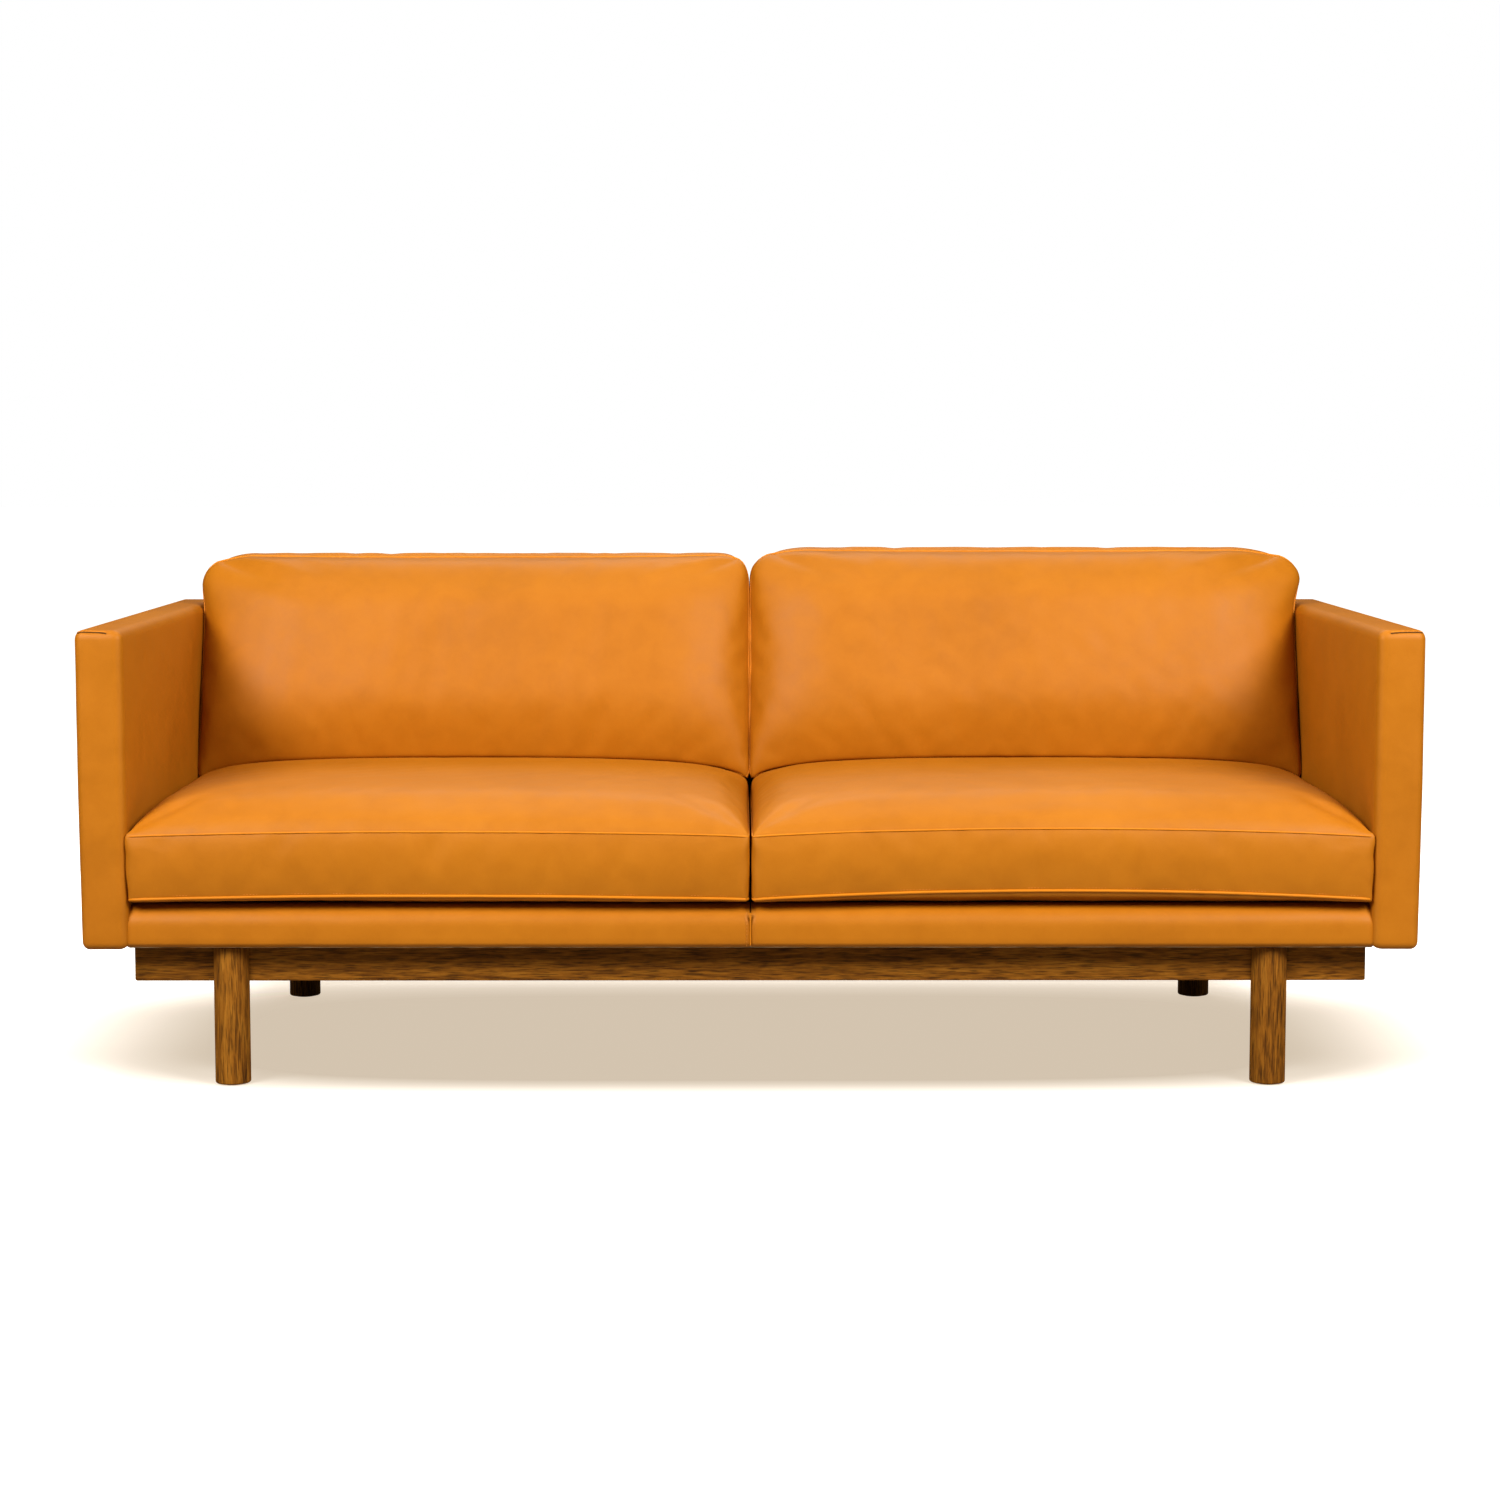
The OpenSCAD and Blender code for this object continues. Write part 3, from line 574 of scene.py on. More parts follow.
def cord_tree():
    """A round cord swept along each path."""
    inputs = {
        "Radius": ("NodeSocketFloat", 2 * mm),
        "Sides": ("NodeSocketInt", 8),
        "Material": ("NodeSocketMaterial", None),
    }
    tree = Tree("cord_along_a_seam", inputs)
    size = {"Resolution": tree.given["Sides"], "Radius": tree.given["Radius"]}
    ring = tree.node("GeometryNodeCurvePrimitiveCircle", "Curve", size)
    swept = {"Curve": tree.path(), "Profile Curve": ring, "Fill Caps": True}
    tube = tree.node("GeometryNodeCurveToMesh", "Mesh", swept)
    return tree.close(tree.node("GeometryNodeSetShadeSmooth", "Geometry", {"Geometry": tube}))


def stitch_tree():
    """Short rounded stitches at an even pitch along each path."""
    inputs = {
        "Pitch": ("NodeSocketFloat", 5 * mm),
        "Length": ("NodeSocketFloat", 3.6 * mm),
        "Thickness": ("NodeSocketFloat", 0.8 * mm),
        "Material": ("NodeSocketMaterial", None),
    }
    tree = Tree("stitches_along_a_seam", inputs)
    given = tree.given
    spaced = {"Curve": tree.path(), "Length": given["Pitch"]}
    marks = tree.node("GeometryNodeResampleCurve", "Curve", spaced, mode="LENGTH")
    ball = {"Segments": 6, "Rings": 4, "Radius": 0.5}
    bead = tree.node("GeometryNodeMeshUVSphere", "Mesh", ball)
    size = {"X": given["Thickness"], "Y": given["Thickness"], "Z": given["Length"]}
    drawn = tree.node("ShaderNodeCombineXYZ", "Vector", size)
    tangent = {"Vector": tree.node("GeometryNodeInputTangent", "Tangent")}
    turn = tree.node("FunctionNodeAlignRotationToVector", "Rotation", tangent, axis="Z")
    each = {"Points": marks, "Instance": bead, "Rotation": turn, "Scale": drawn}
    return tree.close(tree.node("GeometryNodeInstanceOnPoints", "Instances", each))


CORDS = cord_tree()
STITCHES = stitch_tree()


def along_paths(name, tree, paths, **values):
    """Runs a tree along open or closed lines of points and returns one plain mesh piece."""
    points, edges = [], []
    for line, closed in paths:
        first, count = len(points), len(line)
        points.extend(tuple(p) for p in line)
        edges.extend((first + i, first + i + 1) for i in range(count - 1))
        if closed:
            edges.append((first + count - 1, first))
    mesh = bpy.data.meshes.new(name + "_path")
    mesh.from_pydata(points, edges, [])
    path = add_object(name + "_path", mesh)
    run = path.modifiers.new("run", "NODES")
    run.node_group = tree.tree
    for label, value in values.items():
        run[tree.ids[label]] = value
    made = plain_mesh(path)
    bpy.data.objects.remove(path)
    made.name = name
    return add_object(name, made)


def sewn_on(piece, body):
    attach(piece, body)


def add_cords(name, body, paths, radius, finish=None, sides=10):
    """Welts or lips of leather along seams, by default in the lightened welt leather that carries a
    painted highlight.
    """
    sizes = {"Radius": radius, "Sides": sides, "Material": finish or HIGHLIT_WELT_LEATHER}
    sewn_on(along_paths(name, CORDS, paths, **sizes), body)


def add_stitches(name, body, paths, pitch=5 * mm, length=3.4 * mm, thickness=0.7 * mm):
    sizes = {"Pitch": pitch, "Length": length, "Thickness": thickness, "Material": THREAD}
    sewn_on(along_paths(name, STITCHES, paths, **sizes), body)


def moved(line, x, y, z=0):
    return np.array(line) + np.array([x, y, z])


def resampled(ring, step):
    """Points an even step apart round a closed line."""
    line = np.vstack([ring, ring[:1]])
    lengths = np.linalg.norm(np.diff(line, axis=0), axis=1)
    run = np.concatenate([[0], np.cumsum(lengths)])
    count = max(2, round(run[-1] / step))
    marks = np.linspace(0, run[-1], count, endpoint=False)
    return np.stack([np.interp(marks, run, line[:, k]) for k in range(3)], axis=1)


# ---- Timber ----

LEG_SIDES = 64
LEG_EASE = 3 * mm  # rounding of the leg's foot and top
LEG_CRISP = math.radians(40)  # edges that turn by more than this stay crisp


def add_timber(name, points, faces, finish, node):
    """A visible piece of oiled timber in place of a node of the frame."""
    piece = add_piece(name, points, faces, finish)
    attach(piece, "frame")
    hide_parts(node)
    return piece


def leg_rows(low_z, shoulder_z, high_z, radius):
    """Rings of a leg from its foot up, as (radius, height, lapped over the rail)."""
    rows = []
    for angle in np.radians([0, 25, 50, 75, 90]):
        ring = radius - LEG_EASE * (1 - math.sin(angle))
        rows.append((ring, low_z + LEG_EASE * (1 - math.cos(angle)), False))
    for z in np.linspace(low_z + 4 * LEG_EASE, shoulder_z, 8):
        rows.append((radius, z, False))
    for z in np.linspace(shoulder_z + 0.01 * mm, high_z - LEG_EASE, 5):
        rows.append((radius, z, True))
    for angle in np.radians([25, 50, 75, 90]):
        ring = radius - LEG_EASE * (1 - math.cos(angle))
        rows.append((ring, high_z - LEG_EASE * (1 - math.sin(angle)), True))
    return rows


def turned_leg(node, rail_node):
    """A round leg that is half lapped over the face of its rail, with an eased foot and top."""
    low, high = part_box(node)
    rail_low, rail_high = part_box(rail_node)
    in_front = low.y < 0
    face = rail_low.y if in_front else rail_high.y
    middle_x, middle_y = (low.x + high.x) / 2, (low.y + high.y) / 2
    rows = leg_rows(low.z, rail_low.z, high.z, (high.x - low.x) / 2)
    turns = np.linspace(0, 2 * math.pi, LEG_SIDES, endpoint=False)
    points, faces = [], []
    for r, z, lapped in rows:
        for turn in turns:
            y = middle_y + r * math.sin(turn)
            if lapped:
                y = min(y, face) if in_front else max(y, face)
            points.append((middle_x + r * math.cos(turn), y, z))
    for below in range(0, (len(rows) - 1) * LEG_SIDES, LEG_SIDES):
        above = below + LEG_SIDES
        for i in range(LEG_SIDES):
            j = (i + 1) % LEG_SIDES
            faces.append((below + i, below + j, above + j, above + i))
    faces.append(tuple(range(LEG_SIDES))[::-1])
    faces.append(tuple((len(rows) - 1) * LEG_SIDES + i for i in range(LEG_SIDES)))
    leg = add_timber(node + "_turned", points, faces, LEG_TIMBER, node)
    leg.data.polygons[-1].use_smooth = leg.data.polygons[-2].use_smooth = False
    leg.data.set_sharp_from_angle(angle=LEG_CRISP)


def eased_rail(node):
    """A planed rail with its long edges eased and its end corners rounded."""
    eased_low, eased_high = (4 * mm, 1.5 * mm, 3 * mm), (4 * mm, 1.5 * mm, 1.5 * mm)
    points, faces = soft_box(*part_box(node), eased_low, eased_high, 60 * mm)
    add_timber(node + "_planed", points, faces, PLINTH_TIMBER, node)


# ---- Fixed upholstery ----


def upholstered(piece, body, nodes):
    """Attaches a padded piece of leather to its body and hides the frame nodes it takes the place
    of.
    """
    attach(piece, body)
    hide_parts(*nodes)


def fixed_leather(name, points, faces, nodes):
    piece = add_piece(name, points, faces, LEATHER)
    upholstered(piece, "frame", nodes)
    return piece


def by_side(side, outer, inner):
    """Values for the low and the high end in X, given for the outer and the inner end."""
    return (inner, outer) if side > 0 else (outer, inner)


def share_between(values, low, high):
    return (values - low) / (high - low)


def drawn_in(z, low_z):
    """How much of the bow in the outside of an arm there is at a height."""
    return np.clip(1 - (z - low_z) / ARM_BOW_HEIGHT, 0, 1) ** 1.3


def arm_shape(points, low, high, side):
    """Draws the foot of the outside in, lets the top rise to the rear and softens the flats."""
    shaped = points.copy()
    x, y, z = points.T
    deep, tall = share_between(y, low[1], high[1]), share_between(z, low[2], high[2])
    shaped[:, 2] -= ARM_RISE * (1 - deep) * tall
    inner = low[0] if side > 0 else high[0]
    outward = np.abs(x - inner) / (high[0] - low[0])
    shaped[:, 0] -= side * ARM_BOW * drawn_in(z, low[2]) * outward
    inside = np.sin(np.pi * np.clip(deep, 0, 1)) * np.sin(np.pi * np.clip(tall, 0, 1))
    shaped[:, 0] += side * 1.2 * mm * waver(points, 0.22, 5 + side) * inside
    shaped[:, 1] += 0.6 * mm * waver(points, 0.09, 9 + side) * (1 - deep) ** 4
    return shaped


def arm_leather(side_name):
    side = SIDES[side_name]
    nodes = [f"arm_{side_name}_cover", f"arm_{side_name}_pad"]
    low, high = box_of(nodes[0])
    x_low, x_high = by_side(side, *ARM_SIDE_ROUND)
    round_low = (x_low, ARM_FRONT_ROUND, ARM_FOOT_ROUND)
    round_high = (x_high, ARM_REAR_ROUND, ARM_TOP_ROUND)
    points, faces = soft_box(low, high, round_low, round_high, 14 * mm)
    points = arm_shape(points, low, high, side)
    return fixed_leather(f"arm_{side_name}_leather", points, faces, nodes), low, high


def arm_seam(side_name, low, high):
    """The short closing seam on the arm's front top corner: it droops at one end."""
    side = SIDES[side_name]
    middle = (low[0] + high[0]) / 2
    start, end = ARM_SEAM[side_name]
    seam = []
    for share in np.linspace(0, 1, 14):
        drooping = share if side < 0 else 1 - share
        x = middle + start + (end - start) * share
        z = high[2] - ARM_RISE - 3 * mm - 3 * mm * drooping**4
        seam.append((x, low[1] + 5 * mm, z))
    return np.array(seam)


def laid_on(piece, path, proud):
    """The path moved onto the surface of a piece, standing proud of it by this much."""
    laid = []
    for point in path:
        _, spot, normal, _ = piece.closest_point_on_mesh(Vector(point))
        laid.append(spot + normal * proud)
    return laid


def base_leather(side_name):
    """Leather over the padded front rail: soft at its top edge, drawn in at its ends."""
    side = SIDES[side_name]
    low, high = box_of(f"base_cover_{side_name}")
    nodes = [f"base_cover_{side_name}"]
    if side < 0:
        nodes.append("base_front_pad")
    x_low, x_high = by_side(side, 2 * mm, 1.2 * mm)
    round_low, round_high = (x_low, BASE_ROUND, BASE_FOOT_ROUND), (x_high, 2 * mm, BASE_ROUND)
    points, faces = soft_box(low, high, round_low, round_high, 9 * mm)
    middle, end = (low[0], high[0]) if side > 0 else (high[0], low[0])
    front = ease((high[1] - points[:, 1]) / (high[1] - low[1]))
    tall = share_between(points[:, 2], low[2], high[2])
    from_end, from_middle = np.abs(points[:, 0] - end), np.abs(points[:, 0] - middle)
    points[:, 1] += front * 2.5 * mm * (1 + np.exp(-from_end / (16 * mm)))
    points[:, 1] += front * 0.9 * mm * np.exp(-from_middle / (9 * mm))
    points[:, 0] += side * BASE_UNDER_ARM * ease(1 - from_end / (40 * mm))
    points[:, 1] += front * 0.8 * mm * waver(points, 0.13, 21 + side)
    points[:, 2] -= (5 + 2 * np.exp(-from_end / (22 * mm))) * mm * tall * front
    piece = fixed_leather(f"base_{side_name}_leather", points, faces, nodes)
    normals = normals_of(piece)
    crease_z = high[2] - 8 * mm
    for reach, fall in BASE_CREASES:
        start, stop = (end, low[1], crease_z), (end - side * reach, low[1], crease_z - fall)
        points = fold(points, normals, start, stop, 3 * mm, 1.4 * mm)
    set_points(piece, points)
    return low, high


def back_leather():
    """Inside and outside back: one soft slab of leather, and the flat panel behind it."""
    low, high = box_of("back_inner_cover")
    panel_low, panel_high = box_of("back_outer_cover")
    soft = 12 * mm
    slab_high = (high[0], panel_low[1] + 0.5 * mm, high[2])
    round_low, round_high = (2 * mm, soft, 4 * mm), (2 * mm, soft, soft)
    points, faces = soft_box(low, slab_high, round_low, round_high, 30 * mm)
    tall = share_between(points[:, 2], low[2], high[2])
    points[:, 1] += 1.0 * mm * waver(points, 0.3, 31) * np.sin(np.pi * np.clip(tall, 0, 1))
    fixed_leather("inside_back_leather", points, faces, ["back_inner_cover", "back_pad"])
    in_front = panel_low + np.array([1 * mm, -6 * mm, 0])
    behind = panel_high - np.array([1 * mm, 0, 0])
    round_low, round_high = (3 * mm, 3 * mm, 3 * mm), (5 * mm, 3 * mm, 4 * mm)
    points, faces = soft_box(in_front, behind, round_low, round_high, 30 * mm)
    across = np.sin(np.pi * share_between(points[:, 0], panel_low[0], panel_high[0]))
    rear = points[:, 1] > panel_low[1]
    points[:, 1] += rear * across * 0.9 * mm * waver(points, 0.35, 33)
    fixed_leather("outside_back_leather", points, faces, ["back_outer_cover"])
    return panel_low, panel_high


# ---- Cushions ----


class CushionGrid:
    """Layout of a boxed cushion: a front panel, a rear panel and the band that joins them.

    Panels are grids from -1 to 1 across (s) and up (t). The band has its own rows,
    from the front seam, depth 0, to the rear seam, depth 1.
    """

    EDGE = (0, 3, 8, 15, 24, 36, 50)  # first rows from a seam, in millimetres

    def __init__(self, half_w, half_h, step, band_rows):
        self.half_w, self.half_h = half_w, half_h
        s, t = self._rows(half_w, step), self._rows(half_h, step)
        cols, rows = len(s), len(t)
        grid_s, grid_t = np.meshgrid(s, t, indexing="ij")
        self.s, self.t = grid_s.ravel(), grid_t.ravel()
        self.count = cols * rows

        def cell(i, j):
            return i * rows + j

        loop = [cell(i, 0) for i in range(cols)]
        loop += [cell(cols - 1, j) for j in range(1, rows)]
        loop += [cell(i, rows - 1) for i in range(cols - 2, -1, -1)]
        loop += [cell(0, j) for j in range(rows - 2, 0, -1)]
        self.loop = np.array(loop)
        self.faces = []
        for i in range(cols - 1):
            for j in range(rows - 1):
                quad = (cell(i, j), cell(i + 1, j), cell(i + 1, j + 1), cell(i, j + 1))
                self.faces.append(quad)
                self.faces.append(tuple(self.count + k for k in quad[::-1]))
        length = len(loop)
        self.band_rows = band_rows
        rings = [self.loop]
        for row in range(band_rows - 1):
            rings.append(2 * self.count + row * length + np.arange(length))
        rings.append(self.count + self.loop)
        for upper, lower in zip(rings, rings[1:]):
            for i in range(length):
                j = (i + 1) % length
                self.faces.append((upper[i], lower[i], lower[j], upper[j]))
        self.front_seam, self.rear_seam = rings[0], rings[-1]
        self.sewn = np.concatenate([rings[0], rings[-1], np.arange(self.count, 2 * self.count)])

    def _rows(self, half, step):
        edge = [e * mm / half for e in self.EDGE]
        inner = 1 - edge[-1]
        count = max(4, round(2 * half * inner / step))
        middle = np.linspace(-inner, inner, count + 1)
        first, last = [-1 + e for e in edge[:-1]], [1 - e for e in edge[-2::-1]]
        return np.concatenate([first, middle, last])

    def outline(self, s, t, half_w, half_h, corners):
        """Places on a panel with rounded corners.

        Corners are (width, height) pairs: low left, low right, high left and high right.
        """
        ring = np.maximum(np.maximum(np.abs(s), np.abs(t)), 1e-9)
        x, y = s / ring * half_w, t / ring * half_h
        which = np.where(y < 0, 0, 2) + np.where(x < 0, 0, 1)
        run_x, run_y = np.array(corners, float)[which].T
        over_x = (np.abs(x) - (half_w - run_x)) / run_x
        over_y = (np.abs(y) - (half_h - run_y)) / run_y
        turn = (over_x > 0) & (over_y > 0)
        reach = np.maximum(np.hypot(over_x, over_y), 1e-9)
        x = np.where(turn, np.sign(x) * (half_w - run_x + run_x * over_x / reach), x)
        y = np.where(turn, np.sign(y) * (half_h - run_y + run_y * over_y / reach), y)
        return x * ring, y * ring

    def assemble(self, front, rear, bulge):
        """All the points: both panels, and a band whose rows swell outwards by bulge(s, t)."""
        rows = [front, rear]
        start, end = front[self.loop], rear[self.loop]
        out = bulge(self.s[self.loop], self.t[self.loop])
        for row in range(1, self.band_rows):
            depth = row / self.band_rows
            rows.append(start + (end - start) * depth + out * math.sin(math.pi * depth))
        return np.vstack(rows)


def crown(share, sharpness=2.5, fullness=0.4):
    """Height of a filled panel from 0 at its edge, share 1, to 1 in its middle, share 0."""
    return np.clip(1 - np.abs(share) ** sharpness, 0, 1) ** fullness


def quarter(distance, run):
    """A quarter round that rises from 0 to 1 over the run."""
    left = 1 - np.clip(distance / run, 0, 1)
    return np.sqrt(np.clip(1 - left**2, 0, 1))


AIR_PRESSURE = 4.0
FILLING_FRAMES = 20


def inflate(piece, held, cap, stretch):
    """Fills a cushion with air by cloth simulation, and lets no point move further than the cap."""
    before = points_of(piece)
    group = piece.vertex_groups.new(name="sewn")
    group.add([int(i) for i in np.unique(held)], 1.0, "REPLACE")
    cloth = piece.modifiers.new("filling", "CLOTH")
    leather = cloth.settings
    leather.vertex_group_mass = "sewn"
    leather.quality = 5
    leather.mass = 0.4
    leather.tension_stiffness = leather.compression_stiffness = 25
    leather.bending_stiffness = 1.5
    leather.use_pressure = True
    leather.uniform_pressure_force = AIR_PRESSURE
    leather.shrink_min = -stretch
    leather.effector_weights.gravity = 0
    cloth.collision_settings.use_collision = False
    cloth.point_cache.frame_start, cloth.point_cache.frame_end = 1, FILLING_FRAMES
    for step in range(1, FILLING_FRAMES + 1):
        bpy.context.scene.frame_set(step)
    graph = bpy.context.evaluated_depsgraph_get()
    settled = piece.evaluated_get(graph).to_mesh()
    after = np.array([v.co for v in settled.vertices], float)
    piece.modifiers.remove(cloth)
    piece.vertex_groups.remove(group)
    bpy.context.scene.frame_set(1)
    moved = after - before
    size = np.maximum(np.linalg.norm(moved, axis=1), 1e-9)
    return before + moved * (cap * np.tanh(size / cap) / size)[:, None]


class Seat:
    """The shape of a seat cushion, which its back cushion rests on."""

    def __init__(self, side_name):
        self.name, self.side = side_name, SIDES[side_name]
        self.low, self.high = box_of(f"seat_cushion_{side_name}_cover")
        self.half_w = (self.high[0] - self.low[0]) / 2
        self.half_d = (self.high[1] - self.low[1]) / 2
        self.mid = (self.high + self.low) / 2
        self.rise = self.high[2] - self.low[2] - SEAT_SEAM_HIGH
        self.slope_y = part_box(f"back_cushion_{side_name}_cover")[0][1] + SEAT_SLOPE_START

    def arch(self, x, rise):
        """How far a seam arches up at x."""
        return rise * (1 - ((x - self.mid[0]) / self.half_w) ** 2)

    def upper_seam(self, x):
        return self.low[2] + SEAT_SEAM_HIGH + self.arch(x, SEAT_ARCH_HIGH[self.name])

    def lower_seam(self, x):
        return self.low[2] + SEAT_SEAM_LOW + self.arch(x, SEAT_ARCH_LOW[self.name])

    def swell(self, x, y):
        """Share of the full crown at a place on the top panel."""
        across = crown((x - self.mid[0]) / self.half_w, 2.6, 0.25)
        from_front = np.clip((y - self.low[1]) / SEAT_FRONT_RUN, 0, 1)
        from_rear = np.clip((self.high[1] - y) / (40 * mm), 0, 1)
        along = crown(1 - from_front, 2.2, 0.32)
        slope = np.clip((y - self.slope_y) / (self.high[1] - self.slope_y), 0, 1)
        fall = 1 - SEAT_SLOPE_FALL / self.rise * slope
        return across * along * fall * quarter(from_rear, 1.0)

    def top(self, x, y):
        ends = self.upper_seam(x)
        return ends + (self.high[2] + SEAT_LOFT - ends) * self.swell(x, y)


def smooth_ring(ring, passes=2):
    for _ in range(passes):
        ring = (np.roll(ring, 1, 0) + 2 * ring + np.roll(ring, -1, 0)) / 4
    return ring


def sewn_ring(points, seam):
    """A seam as an even closed line for a welt."""
    return resampled(smooth_ring(points[seam]), 9 * mm)


def seat_panels(seat, grid):
    """The crowned top and the flatter underside of a seat cushion."""
    corners = (SEAT_FRONT_CORNER, SEAT_FRONT_CORNER, SEAT_REAR_CORNER, SEAT_REAR_CORNER)
    x, y = grid.outline(grid.s, grid.t, seat.half_w, seat.half_d, corners)
    x, y = x + seat.mid[0], y + seat.mid[1]
    edge = np.maximum(np.abs(grid.s), np.abs(grid.t)) > 1 - 1e-9
    top = np.stack([x, y, np.where(edge, seat.upper_seam(x), seat.top(x, y))], axis=1)
    outer, inner = SEAT_TAPER
    half_w, half_d = seat.half_w - (outer + inner) / 2, seat.half_d - 1 * mm
    x, y = grid.outline(grid.s, grid.t, half_w, half_d, corners)
    from_edge = np.minimum(half_w - np.abs(x), half_d - np.abs(y))
    x, y = x + seat.mid[0] - seat.side * (outer - inner) / 2, y + seat.mid[1]
    rim, rest = seat.lower_seam(x), seat.low[2] + 0.3 * mm
    drop = 0.5 * quarter(from_edge, 7 * mm) + 0.5 * ease((from_edge - 14 * mm) / (26 * mm))
    return top, np.stack([x, y, rim + (rest - rim) * drop], axis=1)


def seat_cushion(side_name):
    """A boxed seat cushion with crowned panels and arched seams."""
    seat = Seat(side_name)
    side, mid = seat.side, seat.mid
    body = f"seat_cushion_{side_name}"
    grid = CushionGrid(seat.half_w, seat.half_d, 17 * mm, BAND_ROWS)

    def bulge(s, t):
        facing = t < 1e-9 - 1
        return np.outer(-SEAT_BAND_SWELL * facing * crown(s, 12, 0.5), [0, 1, 0])

    points = grid.assemble(*seat_panels(seat, grid), bulge)
    cushion = add_piece(f"{body}_leather", points, grid.faces, LEATHER)
    covered = np.where(points[:, 1] > seat.slope_y - 20 * mm)[0]
    held = np.concatenate([grid.sewn, covered])
    set_points(cushion, inflate(cushion, held, 7 * mm, 0.004))
    subdivide(cushion)
    points, normals = points_of(cushion), normals_of(cushion)
    open_part = ease((seat.slope_y - 30 * mm - points[:, 1]) / (60 * mm))
    broad, fine = waver(points, 0.20, 41 + side), waver(points, 0.05, 45 + side)
    points += normals * (open_part * (0.9 * mm * broad + 0.35 * mm * fine))[:, None]
    for anchor, *ends, width, depth in SEAT_CREASES:
        start, stop = (
            (
                mid[0] + side * (anchor * seat.half_w + across),
                seat.low[1],
                seat.low[2] + SEAT_SEAM_HIGH + rise,
            )
            for across, rise in ends
        )
        points = fold(points, normals, start, stop, width, depth)
    points[:, 0] = np.clip(points[:, 0], seat.low[0] + 0.3 * mm, seat.high[0] - 0.3 * mm)
    beyond = ease((seat.low[1] + 12 * mm - points[:, 1]) / (9 * mm))
    beyond *= ease((side * (points[:, 0] - mid[0]) / seat.half_w - 0.9) * 10)
    points[:, 0] += side * SEAT_PAST_ARM * beyond
    set_points(cushion, points)
    upholstered(cushion, body, [f"{body}_cover", f"{body}_core"])

    lines = []
    seams = (
        (grid.front_seam, "upper", WELT["seat_high"], -3.4 * mm, 0.15 * mm),
        (grid.rear_seam, "lower", WELT["seat_low"], 4.4 * mm, -0.4 * mm),
    )
    for seam, label, radius, beside, inward in seams:
        ring = sewn_ring(points, seam)
        reach = seat.half_w - radius - 0.4 * mm
        ring[:, 0] = np.clip(ring[:, 0], mid[0] - reach, mid[0] + reach)
        in_front = ring[:, 1] < mid[1]
        ring[:, 1] -= 0.4 * mm * in_front
        add_cords(f"{body}_{label}_welt", body, [(ring, True)], radius)
        line = moved(ring, 0, 0, beside)
        line[:, 1] += np.where(in_front, inward, 0.2 * mm)
        lines.append((line, True))
    add_stitches(f"{body}_stitches", body, lines)
    return seat


